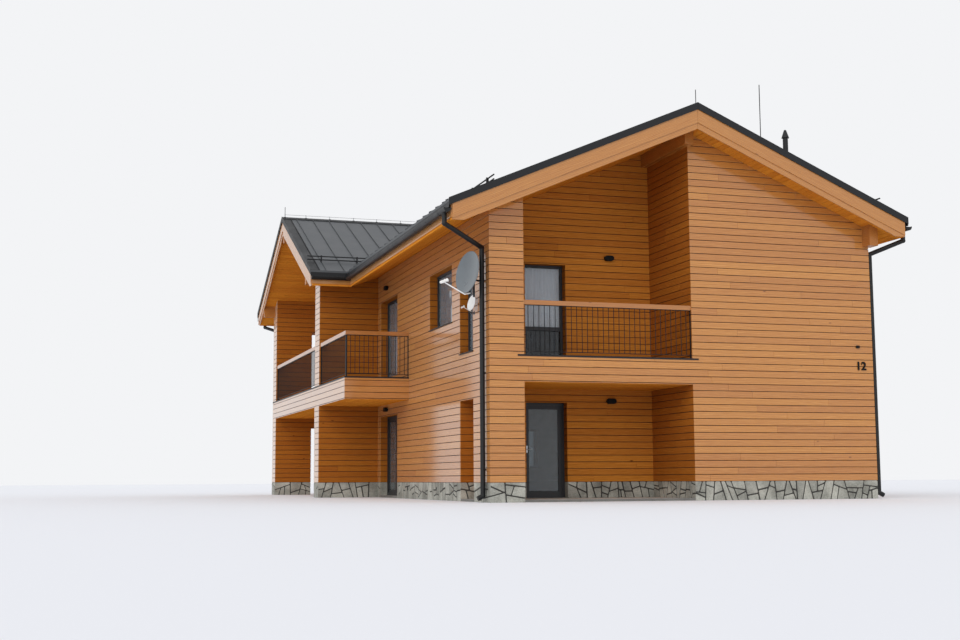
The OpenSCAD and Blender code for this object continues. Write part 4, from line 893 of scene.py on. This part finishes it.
def cracked(outline, draw):
    """The flags that one convex outline breaks into."""
    if area(outline) < draw.uniform(*FLAG_AREA):
        return [outline]
    points = [Vector(p[:2]) for p in outline]
    wide, high = (max(p[k] for p in points) - min(p[k] for p in points) for k in (0, 1))
    across = wide > high * draw.uniform(0.8, 1.5)
    turn = (math.pi / 2 if across else 0.0) + draw.uniform(-0.42, 0.42)
    if across:
        off_centre = Vector((wide, 0)) * draw.uniform(-0.14, 0.14)
    else:
        off_centre = Vector((0, high)) * draw.uniform(-0.27, 0.27)
    middle = sum(points, Vector((0, 0))) / len(points) + off_centre
    a, b = math.sin(turn), -math.cos(turn)
    c = a * middle.x + b * middle.y
    return cracked(clip(outline, a, b, c, True), draw) + cracked(clip(outline, -a, -b, -c, True), draw)


def blunt(ring, cut):
    """Takes the corners off a ring of points."""
    short = []
    for i, point in enumerate(ring):
        here = Vector(point)
        for other in (Vector(ring[i - 1]), Vector(ring[(i + 1) % len(ring)])):
            short.append(tuple(here + (other - here) * min(cut / (other - here).length, 0.3)))
    return short


def flags(made, place, span, levels, seed):
    """Flags over a strip of wall, from span[0] to span[1] and from levels[0] to levels[1]."""
    draw = random.Random(seed)
    (s0, s1), (t0, t1) = span, levels
    for outline in cracked(edged(corners(s0, s1, t0, t1), False), draw):
        joint = FLAG_JOINT * draw.uniform(0.65, 1.2)
        ring = [(min(max(s, s0), s1), min(max(t, t0), t1)) for s, t in inset(outline, joint / 2)]
        rise, tone = T * draw.uniform(0.8, 1.0), draw.random()
        if area(ring) < SMALLEST_FLAG:
            continue
        edge = blunt(ring, FLAG_CORNER)
        top = [(s, max(t, t0)) for s, t in inset(edged(edge), FLAG_EASE)]
        rings = [(edge, 0), (edge, rise - FLAG_EASE), (top, rise)]
        prism(made, place, rings, lambda s, t: (s, t), tone)


made = store()
outdoors, in_loggia = (0, PLINTH), (FLOOR, PLINTH)
left_spans = left_over((0, BODY_L), [ENTRY, SIDE_DOOR, FIN_NEAR, BAY])
strips = [(front, (-T, LOGGIA_L + T), outdoors), (front, (LOGGIA_R - T, BODY_W + T), outdoors)]
strips += [(left, span, outdoors) for span in left_spans]
strips += [(right, (0, BODY_L), outdoors), (back, (0, BODY_W + T), outdoors)]
strips += [(upright(LOGGIA_L, X), (0, WALL), in_loggia),
           (upright(WALL, Y), (WALL, LOGGIA_L + T), in_loggia),
           (upright(LOGGIA_R, -X), (0, LOGGIA_BACK - T), in_loggia),
           (upright(WALL, X), (WALL + T, ENTRY[0]), in_loggia)]
strips += [(upright(LOGGIA_BACK, -Y), span, in_loggia)
           for span in ((WALL + T, LOGGIA_DOOR[0]), (LOGGIA_DOOR[1], LOGGIA_R))]
for (y0, y1), inner in ((FIN_NEAR, 0), (FIN_FAR, PASSAGE + T)):
    strips += [(upright(y0, -Y), (WING - T, inner), outdoors),
               (upright(y1, Y), (WING - T, inner), outdoors), (wing_end, (y0, y1), outdoors)]
strips.append((upright(PASSAGE, X), FIN_FAR, outdoors))
lined = [(0, Y, X, ENTRY, LEAF_FACE), (0, Y, X, SIDE_DOOR, REVEAL), (0, Y, X, BAY, REVEAL),
         (LOGGIA_BACK, X, Y, LOGGIA_DOOR, REVEAL)]
for at, along, inward, span, depth in lined:
    strips += [(place, (-T, depth), in_loggia) for place in jambs(inward * at, along, inward, span)]
for number, (place, span, levels) in enumerate(strips):
    flags(made, place, span, levels, 500 + number)
finished(made, "plinth_flags", gneiss)

# %% [markdown]
# The roof's underside is boarded too. Under the main roof the boards run along the eaves.
# Under the cross gable they run with its own ridge. The loggia and balcony slabs are
# boarded below and decked above. The rows come from the same function as the walls, on
# planes that tilt with the roof.

# %% Soffit boards
SOFFIT_BOARD, SOFFIT_JOINT = 0.13, 0.005
VERGE_IN, EAVE_IN = 0.06, 0.078
FRONT_IN, REAR_IN = -0.575, BACK_EAVE - VERGE_IN
cos_main = math.cos(math.atan(MAIN_T))
cos_cross = math.cos(math.atan(CROSS_T))


def soffit(origin, along, run, slope, span, width, holes=(), limits=(), seed=0):
    """Boards under a slope that rises along run. width is measured on plan from the origin."""
    tilt = math.cos(math.atan(slope))
    place = plane(Vector(origin), along, (run + Z * slope) * tilt, (run * slope - Z) * tilt)
    cut = [(s0, s1, a / tilt, b / tilt) for s0, s1, a, b in holes]
    courses(made, place, span, (width[0] / tilt, width[1] / tilt), limits, cut,
            pitch=SOFFIT_BOARD, joint=SOFFIT_JOINT, first=0, seed=seed)


made = store()
main_left = (LEFT_EAVE, 0, EAVE - ROOF_V)
main_right = (RIGHT_EAVE, 0, RIDGE - MAIN_T * (RIGHT_EAVE - MID_X) - ROOF_V)
reach = MID_X - LEFT_EAVE
valley = 1 / (VALLEY_RUN * cos_main)
soffit(main_left, Y, X, MAIN_T, (FRONT_IN, VALLEY_Y), (EAVE_IN, reach),
       [(LOGGIA_BACK, VALLEY_Y, -LEFT_EAVE, reach)], [(valley, -1.0, valley * NEAR_EAVE)], seed=71)
soffit(main_left, Y, X, MAIN_T, (BODY_L, REAR_IN), (EAVE_IN, reach),
       limits=[(-valley, -1.0, -valley * BACK_EAVE)], seed=72)
soffit(main_right, Y, -X, MAIN_T, (FRONT_IN, REAR_IN), (EAVE_IN, RIGHT_EAVE - MID_X),
       [(0, BODY_L, RIGHT_EAVE - BODY_W, RIGHT_EAVE)], seed=73)
for eave_y, run, seed in ((NEAR_EAVE, Y, 74), (BACK_EAVE, -Y, 75)):
    soffit((0, eave_y, EAVE - ROOF_V), X, run, CROSS_T, (WING_VERGE + VERGE_IN, 0),
           (EAVE_IN, CROSS_Y - NEAR_EAVE), limits=[(VALLEY_RUN, -cos_cross, VALLEY_RUN * LEFT_EAVE)],
           seed=seed)
courses(made, plane((0, 0, SOFFIT), X, Y, -Z), (WALL, LOGGIA_R), (0, LOGGIA_BACK), pitch=SOFFIT_BOARD,
        joint=SOFFIT_JOINT, first=0, holes=[(WALL, LOGGIA_L, 0, WALL)], seed=76)
courses(made, plane((0, 0, SOFFIT), Y, X, -Z), (BALCONY, BODY_L), (WING, 0), pitch=SOFFIT_BOARD,
        joint=SOFFIT_JOINT, first=WING, holes=[FIN_NEAR + (WING, 0), FIN_FAR + (WING, 0)], seed=77)
# The soffit finish paints in the light bounced up from the pale ground.
finished(made, "soffit_boards", soffit_larch_painted_light)

# %% [markdown]
# A narrow board closes the gap between each eaves board and the soffit. It is a course of
# a single row, so its edges are eased like the rest.

# %% Eaves closers
DECK_IN, EAVES_BOARD = 0.09, 0.32
EDGE_IN, EDGE_DOWN = 0.06, 0.05    # the eaves board's top stands this far in and below the slope
right_drop = MAIN_T * (LEFT_EAVE + RIGHT_EAVE - 2 * MID_X)
left_top = EAVE + MAIN_T * EDGE_IN - EDGE_DOWN - EAVES_BOARD
left_low = EAVE + MAIN_T * EAVE_IN - ROOF_V - BOARD
cross_top = EAVE + CROSS_T * EDGE_IN - EDGE_DOWN - EAVES_BOARD
cross_low = EAVE + CROSS_T * EAVE_IN - ROOF_V - BOARD
cross_span = (WING_VERGE + VERGE_IN, LEFT_EAVE + DECK_IN)
right_levels = (left_low - right_drop, left_top - right_drop)
closers = [(upright(LEFT_EAVE + DECK_IN, -X), (FRONT_IN, NEAR_EAVE + DECK_IN), (left_low, left_top)),
           (upright(RIGHT_EAVE - DECK_IN, X), (FRONT_IN, REAR_IN), right_levels),
           (upright(NEAR_EAVE + DECK_IN, -Y), cross_span, (cross_low, cross_top)),
           (upright(BACK_EAVE - DECK_IN, Y), cross_span, (cross_low, cross_top))]
made = store()
for number, (place, span, levels) in enumerate(closers):
    courses(made, place, span, levels, pitch=1.0, joint=0.0, first=levels[0], seed=90 + number)
finished(made, "eaves_closers", soffit_larch_painted_light)

# %% [markdown]
# The loggia and the balcony are decked with planks 134 mm wide and 6 mm open joints. They
# are never oiled, so they turn grey-brown. They stop short of the metal edge and of the
# pier and fins that stand on the slab. They are laid like the courses of a wall, on a
# plane that lies flat.

# %% Decking
DECKING, DECK_PITCH, DECK_JOINT, EDGE = 0.006, 0.14, 0.006, 0.06
decks = [(plane((0, 0, DECK), X, Y, Z), (WALL, LOGGIA_R - BOARD), (EDGE, LOGGIA_BACK - BOARD),
          [(WALL, LOGGIA_L + BOARD, 0, WALL + BOARD)]),
         (plane((0, 0, DECK), Y, X, Z), (BALCONY + EDGE, BODY_L), (WING + EDGE, -BOARD),
          [(FIN_NEAR[0] - BOARD, FIN_NEAR[1] + BOARD, WING, 0),
           (FIN_FAR[0] - BOARD, BODY_L, WING, PASSAGE + BOARD)])]
made = store()
for seed, (place, span, levels, taken) in enumerate(decks, 80):
    courses(made, place, span, levels, (), taken, DECK_PITCH, DECK_JOINT, DECKING, levels[0], seed)
finished(made, "decking", deck_larch)

# %% [markdown]
# The small round things need two more shapes: a bar that follows a path, and a turned
# solid. Ready-made cylinders could be placed and joined, but rings that share their points
# leave no inner caps. These stores hold no grain map, and their faces are turned outwards
# at the end.

# %% Bars and turned solids
def around(axis):
    """Two directions square to an axis."""
    axis = axis.normalized()
    side = axis.cross(Z if abs(axis.z) < 0.9 else X).normalized()
    return side, axis.cross(side)


def bar(made, path, radius, sides=10):
    """A closed round bar along house points."""
    points = [Vector(p) + CORNER for p in path]
    steps = [(b - a).normalized() for a, b in zip(points, points[1:])]
    side = around(steps[0])[0]
    first = len(made["points"])
    for i, point in enumerate(points):
        along = (steps[max(i - 1, 0)] + steps[min(i, len(steps) - 1)]).normalized()
        side = (side - along * side.dot(along)).normalized()
        other = along.cross(side)
        wide = 1 / max(along.dot(steps[min(i, len(steps) - 1)]), 0.5)
        for k in range(sides):
            turn = 2 * math.pi * (k + 0.5) / sides
            out = side * math.cos(turn) * wide + other * math.sin(turn)
            made["points"].append(point + out * radius)
    for i in range(len(points) - 1):
        low, high = first + i * sides, first + (i + 1) * sides
        made["faces"] += [(low + k, low + (k + 1) % sides, high + (k + 1) % sides, high + k)
                          for k in range(sides)]
    last = first + (len(points) - 1) * sides
    made["faces"] += [tuple(range(first, first + sides)), tuple(range(last, last + sides))]


def turned(made, at, axis, profile, sides=32):
    """A closed solid turned about an axis. profile gives (radius, height) from pole to pole."""
    start, axis = Vector(at) + CORNER, axis.normalized()
    side, other = around(axis)
    rings = []
    for radius, height in profile:
        first = len(made["points"])
        count = sides if radius > 1e-6 else 1
        for k in range(count):
            turn = 2 * math.pi * k / sides
            out = (side * math.cos(turn) + other * math.sin(turn)) * radius
            made["points"].append(start + axis * height + out)
        rings.append((first, count))
    for (low, n), (high, m) in zip(rings, rings[1:]):
        for k in range(sides):
            quad = [low + k % n, low + (k + 1) % n, high + (k + 1) % m, high + k % m]
            made["faces"].append(tuple(dict.fromkeys(quad)))


def disc(radius, height):
    """The profile of a plain short cylinder."""
    return [(0, 0), (radius, 0), (radius, height), (0, height)]


print("a 10-sided bar 20 mm thick is flat by", round(10 * (1 - math.cos(math.pi / 10)), 2), "mm")

# %% [markdown]
# Two satellite dishes hang beside the corner. Each is a shallow pressed bowl with a
# rolled rim, turned from one profile so that bowl and rim are one skin. The big one is
# satin grey, the small one and both feeds are white plastic, and the brackets are black
# steel tube. Profiles are (radius, height) in metres.

# %% Satellite dishes
def facing(turn, lift):
    """The direction that is turned from +X towards +Y and lifted, in degrees."""
    turn, lift = math.radians(turn), math.radians(lift)
    return Vector((math.cos(turn) * math.cos(lift), math.sin(turn) * math.cos(lift), math.sin(lift)))


def dish(made, at, axis, radius, depth):
    """A bowl that opens along axis, its rim level with at."""
    steps = 10
    bowl = [(radius * k / steps, depth * ((k / steps) ** 2 - 1)) for k in range(steps)]
    rim = [(radius + out, height) for out, height in (
        (-0.004, 0.003), (0.002, 0.005), (0.006, 0.0), (0.003, -0.006))]
    behind = [(r, h - 0.004) for r, h in reversed(bowl)]
    turned(made, at, axis, bowl + rim + [(radius - 0.004, -0.006)] + behind, 64)


BIG_AT, BIG_R = Vector((-0.406, 0.191, 4.591)), 0.433
SMALL_AT, SMALL_R = Vector((-0.115, 0.865, 4.065)), 0.163
BIG_FOOT, SMALL_FOOT = Vector((0.0, 0.42, 4.448)), Vector((0.0, 1.0, 3.88))    # where arms meet the wall
big_axis, small_axis = facing(194, 8), facing(190, 12)
big_side = big_axis.cross(Z).normalized()
big_up = big_side.cross(big_axis)
small_up = small_axis.cross(Z).normalized().cross(small_axis)

made = store()
dish(made, BIG_AT, big_axis, BIG_R, 0.075)
big_dish = finished(made, "big_dish", dish_paint, smooth=True)
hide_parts("dish_antennas")

made = store()
dish(made, SMALL_AT, small_axis, SMALL_R, 0.03)
feed_at = BIG_AT + big_axis * 0.5 - big_up * 0.29
look = (BIG_AT - feed_at).normalized()
horn = [(0, -0.07), (0.027, -0.07), (0.03, -0.06), (0.03, 0.0), (0.024, 0.008), (0.024, 0.03),
        (0.036, 0.042), (0.036, 0.056), (0.0, 0.06)]
for offset in (-0.042, 0.042):
    turned(made, feed_at + big_side * offset, look, horn, 24)
bar(made, [feed_at - big_side * 0.06, feed_at + big_side * 0.06], 0.02, 8)
rim_foot = BIG_AT - big_up * (BIG_R + 0.022)
bar(made, [rim_foot - big_axis * 0.12 + big_up * 0.05, rim_foot, feed_at - big_up * 0.02], 0.013, 10)
small_feed = SMALL_AT + small_axis * 0.17 - small_up * 0.13
bar(made, [SMALL_AT - small_up * (SMALL_R + 0.01) - small_axis * 0.03, small_feed], 0.007, 8)
small_horn = [(0, -0.04), (0.018, -0.04), (0.018, 0.02), (0.024, 0.03), (0, 0.034)]
turned(made, small_feed, SMALL_AT - small_feed, small_horn, 20)
finished(made, "dish_feeds", feed_plastic)

made = store()
mast_x, mast_y = BIG_AT.x + 0.15, BIG_AT.y + 0.045
bar(made, [BIG_FOOT, (mast_x + 0.04, mast_y + 0.01, BIG_FOOT.z)], 0.02, 16)
bar(made, [(mast_x, mast_y, 4.1), (mast_x, mast_y, 4.75)], 0.022, 16)
turned(made, BIG_FOOT, -X, [(0, 0), (0.05, 0), (0.05, 0.016), (0.045, 0.02), (0, 0.02)], 32)
hub = [(0, 0), (0.05, 0), (0.05, 0.045), (0.075, 0.05), (0.075, 0.058), (0, 0.058)]
turned(made, BIG_AT - big_axis * 0.137, big_axis, hub, 24)
arm = [SMALL_FOOT, SMALL_FOOT + Vector((-0.09, 0, 0)), SMALL_FOOT + Vector((-0.095, -0.01, 0.02))]
bar(made, arm + [SMALL_AT - small_axis * 0.045], 0.012, 12)
turned(made, SMALL_FOOT, -X, [(0, 0), (0.04, 0), (0.04, 0.014), (0, 0.018)], 24)
turned(made, SMALL_AT - small_axis * 0.06, small_axis, disc(0.03, 0.028), 20)
for z in (4.42, 4.60):
    turned(made, (mast_x, mast_y, z), Z, disc(0.032, 0.04), 20)
finished(made, "dish_brackets", mast_steel)

# %% [markdown]
# A gutter hangs in flat steel hooks about 90 cm apart, and its front edge is rolled into
# a bead that keeps it straight. Both are thin, but they break the long dark line. A hook
# is the outline of a bent strap, drawn out to the strap's width.

# %% Gutter hooks and beads
GUTTER_R, GUTTER_Z, GUTTER_OUT, BEAD_R = 0.08, 5.72, 0.02, 0.009
GUTTER_FRONT, VALLEY_GAP, CORNER_LAP = -0.615, 0.105, 0.06
HOOK_EVERY, HOOK_HALF = 0.9, 0.0125
HOOK_CLEAR, HOOK_THICK = 1.004, 1.045    # of the gutter's radius, and of the strap's inside
HOOK_ARC = [math.radians(19 + 161 * j / 12) for j in range(13)]   # from under the bead to the boards
strap = [(math.cos(a) * GUTTER_R * HOOK_CLEAR, -math.sin(a) * GUTTER_R * HOOK_CLEAR) for a in HOOK_ARC]
strap += [(x * HOOK_THICK, z * HOOK_THICK) for x, z in reversed(strap)]
right_z = GUTTER_Z + MAIN_T * (MID_X - LEFT_EAVE - (RIGHT_EAVE - MID_X))
cross_x = WING_VERGE + GUTTER_OUT
cross_length = LEFT_EAVE + CORNER_LAP - WING_VERGE - GUTTER_OUT
runs = [((LEFT_EAVE - GUTTER_OUT, GUTTER_FRONT, GUTTER_Z), Y, -X, NEAR_EAVE - VALLEY_GAP - GUTTER_FRONT),
        ((RIGHT_EAVE + GUTTER_OUT, GUTTER_FRONT, right_z), Y, X, BACK_EAVE - GUTTER_FRONT - GUTTER_OUT),
        ((cross_x, NEAR_EAVE - GUTTER_OUT, GUTTER_Z), X, -Y, cross_length),
        ((cross_x, BACK_EAVE + GUTTER_OUT, GUTTER_Z), X, Y, cross_length)]
beads, hooks = store(), store()
for start, along, out, length in runs:
    start = Vector(start)
    edge = start + out * (GUTTER_R - BEAD_R - 0.0005) + Z * 0.004
    bar(beads, [edge + along * 0.003, edge + along * (length - 0.003)], BEAD_R)
    count = max(2, round(length / HOOK_EVERY))
    for k in range(count):
        place = plane(start + along * (length * (k + 0.5) / count), out, Z, along)
        prism(hooks, place, [(strap, -HOOK_HALF), (strap, HOOK_HALF)])
finished(beads, "gutter_beads", gutter_metal)
finished(hooks, "gutter_hooks", gutter_metal)

# %% [markdown]
# A round lightning conductor runs over the small ridge on short clamps, up to the rod at
# its end. It is galvanised wire, straight and stiff: 8 mm thick, drawn as 10. The clamps
# are turned solids. They stand about 70 cm apart, a little unevenly, as if set by hand.

# %% Ridge conductor
HOLDER_V = 0.07
HOLDERS_X = [-1.93, -1.305, -0.59, 0.14, 0.85, 1.6, 2.31, 3.05, 3.75]
ridge_top = CROSS_RIDGE + 0.025
wire_z = ridge_top + HOLDER_V
made = store()
bar(made, [(HOLDERS_X[0], CROSS_Y, wire_z), (HOLDERS_X[-1] + 0.2, CROSS_Y, wire_z)], 0.005, 8)
holder = [(0, 0), (0.028, 0), (0.028, 0.008), (0.008, 0.014), (0.008, HOLDER_V - 0.012),
          (0.014, HOLDER_V - 0.01), (0.014, HOLDER_V + 0.01), (0, HOLDER_V + 0.012)]
for x in HOLDERS_X:
    turned(made, (x, CROSS_Y, ridge_top), Z, holder, 12)
finished(made, "ridge_conductor", wire_steel)

# %% [markdown]
# Windows: each frame gets a sash, a flat ring set a little proud of it, and a black seal
# against the glass, inside and out. One function makes both. A box with a hole would do,
# but four mitred boards let an eased edge run round each corner, outside and inside.

# %% Sashes and seals
FRAME_B, GLASS_IN, GLASS_T, SEAL = 0.065, 0.028, 0.024, 0.005
MITRE_EASE = 0.0015


def frame_ring(made, place, outer, inner, low, high):
    """Four mitred boards round an opening. outer and inner are (s0, s1, t0, t1)."""
    out, into = corners(*outer), corners(*inner)
    for k in range(4):
        n = (k + 1) % 4
        outline = [out[k] + (True,), out[n] + (False,), into[n] + (True,), into[k] + (False,)]
        edge = [p[:2] for p in outline]
        prism(made, place, [(edge, low), (edge, high - MITRE_EASE), (inset(outline, MITRE_EASE), high)])


def seal_pane(made, place, opening, front):
    """A seal before a pane and one behind it. front is the depth of the pane's outer face."""
    for low in (front, front - GLASS_T - SEAL):
        frame_ring(made, place, shrunk(opening, -0.001), shrunk(opening, 0.009), low, low + SEAL)


def shrunk(box, by):
    """A box (s0, s1, t0, t1) with its sides moved in."""
    return (box[0] + by, box[1] - by, box[2] + by, box[3] - by)


windows = [(upright(REVEAL, -X), span + (low, UPPER_HEAD)) for span, low in UPSTAIRS]
windows += [(upright(REVEAL, -X), BAY + (FLOOR, DOOR_HEAD)),
            (upright(LOGGIA_BACK + REVEAL, -Y), LOGGIA_DOOR + (UPPER_FLOOR, UPPER_HEAD))]
for storey in STOREYS:
    windows += [(upright(BODY_W - REVEAL, X), span + storey) for span in RIGHT_WINDOWS]
    windows += [(upright(BODY_L - REVEAL, Y), span + storey) for span in BACK_WINDOWS]
sashes, seals = store(), store()
for place, box in windows:
    frame_ring(sashes, place, shrunk(box, 0.024), shrunk(box, FRAME_B - 0.004), 0.0, 0.008)
    seal_pane(seals, place, shrunk(box, FRAME_B), -GLASS_IN)
finished(sashes, "window_sashes", frame_metal)
finished(seals, "window_seals", rubber)

# %% [markdown]
# Each leaf that opens has the same black seals round its pane. They are a piece for each
# leaf, because a piece can ride on one body only.

# %% Seals on the opening doors
FRAME_AND_GAP, MEETING_GAP, STILE, PANE_IN = 0.045 + 0.010, 0.010, 0.085, 0.039
loggia_face, side_face = upright(LOGGIA_BACK + REVEAL, -Y), upright(REVEAL, -X)
side_mid = (SIDE_DOOR[0] + SIDE_DOOR[1]) / 2
levels = (FLOOR + FRAME_AND_GAP, DOOR_HEAD - FRAME_AND_GAP)
leaves = [("loggia_door", loggia_face, (LOGGIA_DOOR[0] + FRAME_AND_GAP, LOGGIA_DOOR[1] - FRAME_AND_GAP)),
          ("side_door_near", side_face, (SIDE_DOOR[0] + FRAME_AND_GAP, side_mid - MEETING_GAP / 2)),
          ("side_door_far", side_face, (side_mid + MEETING_GAP / 2, SIDE_DOOR[1] - FRAME_AND_GAP))]
for body, place, span in leaves:
    made = store()
    seal_pane(made, place, shrunk(span + levels, STILE), -PANE_IN)
    finished(made, body + "_seals", rubber, body=body)

# %% [markdown]
# The upper loggia door has a metal rail across it at parapet height. The pane below is
# laminated safety glass with a smoked film between its two sheets, so it needs a tint of
# its own. Both are plain prisms.

# %% Parapet rail and smoked pane
PARAPET, RAIL_HALF, FIT = 3.74, 0.04, 0.001
x0, x1, sill, _ = shrunk(LOGGIA_DOOR + (UPPER_FLOOR, UPPER_HEAD), FRAME_B)
made = store()
edge = corners(x0, x1, PARAPET - RAIL_HALF, PARAPET + RAIL_HALF)
prism(made, loggia_face, [(edge, -GLASS_IN + FIT), (edge, 0.004), (inset(edged(edge), 0.002), 0.006)])
finished(made, "parapet_rail", frame_metal)

smoked, tree, shader = surface("smoked_safety_glass", {
    "Roughness": 0.03, "IOR": 1.5, "Transmission Weight": 1.0})
where = add(tree, "TexCoord").outputs["Object"]
haze = add(tree, "TexNoise", {0: where, "Scale": 7.0, "Detail": 3.0})
feed(shader, "Base Color", add(tree, "ValToRGB", haze, stops=[(0.3, "5f656b"), (0.7, "70767c")]))
made = store()
lower = corners(x0 + FIT, x1 - FIT, sill + FIT, PARAPET - RAIL_HALF - FIT)
prism(made, loggia_face, [(lower, -GLASS_IN + 0.006), (lower, -GLASS_IN + 0.014)])
finished(made, "parapet_glass", smoked)

# %% [markdown]
# Behind the upper loggia door hang two curtains of pale grey polyester, gathered on a
# rail. The cloth is a plain weave: matt, with a soft sheen at its edges. Warp and weft are
# two sets of fine bands, multiplied.

# %% Curtain cloth
cloth, tree, shader = surface("woven_polyester_curtain", {
    "Roughness": 0.85, "Specular IOR Level": 0.3, "Sheen Weight": 0.3, "Sheen Roughness": 0.5})
spot = add(tree, "TexCoord").outputs["Object"]
THREADS = 0.004    # metres; 0.3 mm in the real cloth, drawn coarser so that it shows
threads = {0: spot, "Scale": 0.32 / THREADS, "Distortion": 0.4, "Detail": 1.0}
warp, weft = [add(tree, "TexWave", threads, bands_direction=across) for across in "XZ"]
weave = add(tree, "Math", warp.outputs["Fac"], weft.outputs["Fac"], operation="MULTIPLY")
feed(shader, "Base Color", add(tree, "ValToRGB", weave, stops=[(0.0, "e2e5e9"), (1.0, "f2f4f7")]))
feed(shader, "Normal", add(tree, "Bump", {"Height": weave, "Distance": 0.0004}))
print("finishes in all:", len(bpy.data.materials))

# %% [markdown]
# Each sheet has six folds, 16 mm deep at the rail and about 30 mm at the hem, and is one
# thin closed mesh. The folds could be simulated. They are drawn as a wave, because cloth
# that is gathered evenly and hangs straight settles into one. The flat width is the mean
# length of the sheet's rows along the folds.

# %% Curtains
CLOTH_Y, CLOTH_T = 2.385, 0.0012
CLOTH_LOW, CLOTH_HIGH = UPPER_FLOOR + 0.015, UPPER_HEAD - 0.025
FOLD_TOP, FOLD_HEM, FOLDS = 0.010, 0.017, 6
ACROSS, DOWN = 144, 24
SHEETS = [("curtain_left", 1.472, 1.94, 0.4), ("curtain_right", 1.952, 2.418, 2.2)]


def curtain(x0, x1, phase):
    """A gathered sheet between x0 and x1, and the width it was cut to."""
    def spot(i, j, back):
        u, v = i / ACROSS, j / DOWN
        deep = FOLD_HEM + (FOLD_TOP - FOLD_HEM) * v
        swing = math.sin(2 * math.pi * FOLDS * u + phase + 0.5 * math.sin(3.1 * v + phase))
        sway = 0.35 * math.sin(2 * math.pi * FOLDS * u * 0.5 + 1.7 * v)
        return Vector((x0 + (x1 - x0) * u, CLOTH_Y + deep * (swing + sway * (1 - v)) * 0.8 + back,
                       CLOTH_LOW + (CLOTH_HIGH - CLOTH_LOW) * v))
    made, row = store(), ACROSS + 1
    for back in (0.0, CLOTH_T):
        made["points"] += [spot(i, j, back) + CORNER for j in range(DOWN + 1) for i in range(row)]
    side = row * (DOWN + 1)
    for j in range(DOWN):
        for i in range(ACROSS):
            a = j * row + i
            quad = (a, a + 1, a + row + 1, a + row)
            made["faces"] += [quad, tuple(side + k for k in reversed(quad))]
    border = list(range(row)) + [j * row + ACROSS for j in range(1, DOWN + 1)]
    border += [DOWN * row + i for i in reversed(range(ACROSS))]
    border += [j * row for j in range(DOWN - 1, 0, -1)]
    made["faces"] += [(a, side + a, side + b, b) for a, b in zip(border, border[1:] + border[:1])]
    lengths = []
    for j in range(DOWN + 1):
        points = [spot(i, j, 0) for i in range(row)]
        lengths.append(sum((b - a).length for a, b in zip(points, points[1:])))
    return made, sum(lengths) / len(lengths)


RAIL_Z, RAIL_H = UPPER_HEAD - 0.0125, 0.0125
made = store()
edge = corners(LOGGIA_DOOR[0] + 0.01, LOGGIA_DOOR[1] - 0.01, RAIL_Z - RAIL_H, RAIL_Z + RAIL_H)
rings = [(edge, -0.015), (edge, 0.012), (inset(edged(edge), 0.003), 0.015)]
prism(made, upright(CLOTH_Y, -Y), rings)
curtain_rail = finished(made, "curtain_rail", frame_metal)
for name, x0, x1, phase in SHEETS:
    made, wide = curtain(x0, x1, phase)
    piece = finished(made, name, cloth, smooth=True)
    print(name, "was cut", round(wide, 3), "m wide")
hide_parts("curtains")

# %% [markdown]
# The last small things: a plain house number in black metal beside the front corner, and
# the pull bar of the side entrance. The digits could be cut as outlines. They come from a
# text object that is turned into a mesh, because that gives true curves and eased edges.

# %% House number and pull bar
NUMBER_X, NUMBER_Z, NUMBER_SIZE = 8.375, 2.782, 0.25
PULL_LOW, PULL_HIGH, PULL_FOOT = 0.85, 1.35, 0.07
words = bpy.data.curves.new("digits", "FONT")
words.body, words.size, words.extrude, words.bevel_depth = "12", NUMBER_SIZE, 0.007, 0.001
words.offset = 0.006
words.space_character = 1.05
text = bpy.data.objects.new("digits", words)
bpy.context.scene.collection.objects.link(text)
bpy.context.view_layer.update()
shape = bpy.data.meshes.new_from_object(text.evaluated_get(bpy.context.evaluated_depsgraph_get()))
bpy.data.objects.remove(text)
made = store()
at = Vector((NUMBER_X, -BOARD - 0.012, NUMBER_Z)) + CORNER
made["points"] = [at + X * v.co.x + Z * v.co.y - Y * v.co.z for v in shape.vertices]
made["faces"] = [tuple(f.vertices) for f in shape.polygons]
bpy.data.meshes.remove(shape)
finished(made, "house_number", lamp_body)

made = store()
pull_y, pull_x = ENTRY[1] - 0.12, LEAF_FACE - BOARD - 0.05
bar(made, [(pull_x, pull_y, PULL_LOW), (pull_x, pull_y, PULL_HIGH)], 0.014, 20)
for z in (PULL_LOW + PULL_FOOT, PULL_HIGH - PULL_FOOT):
    bar(made, [(pull_x, pull_y, z), (LEAF_FACE - BOARD, pull_y, z)], 0.009, 14)
finished(made, "entry_pull_bar", mast_steel)
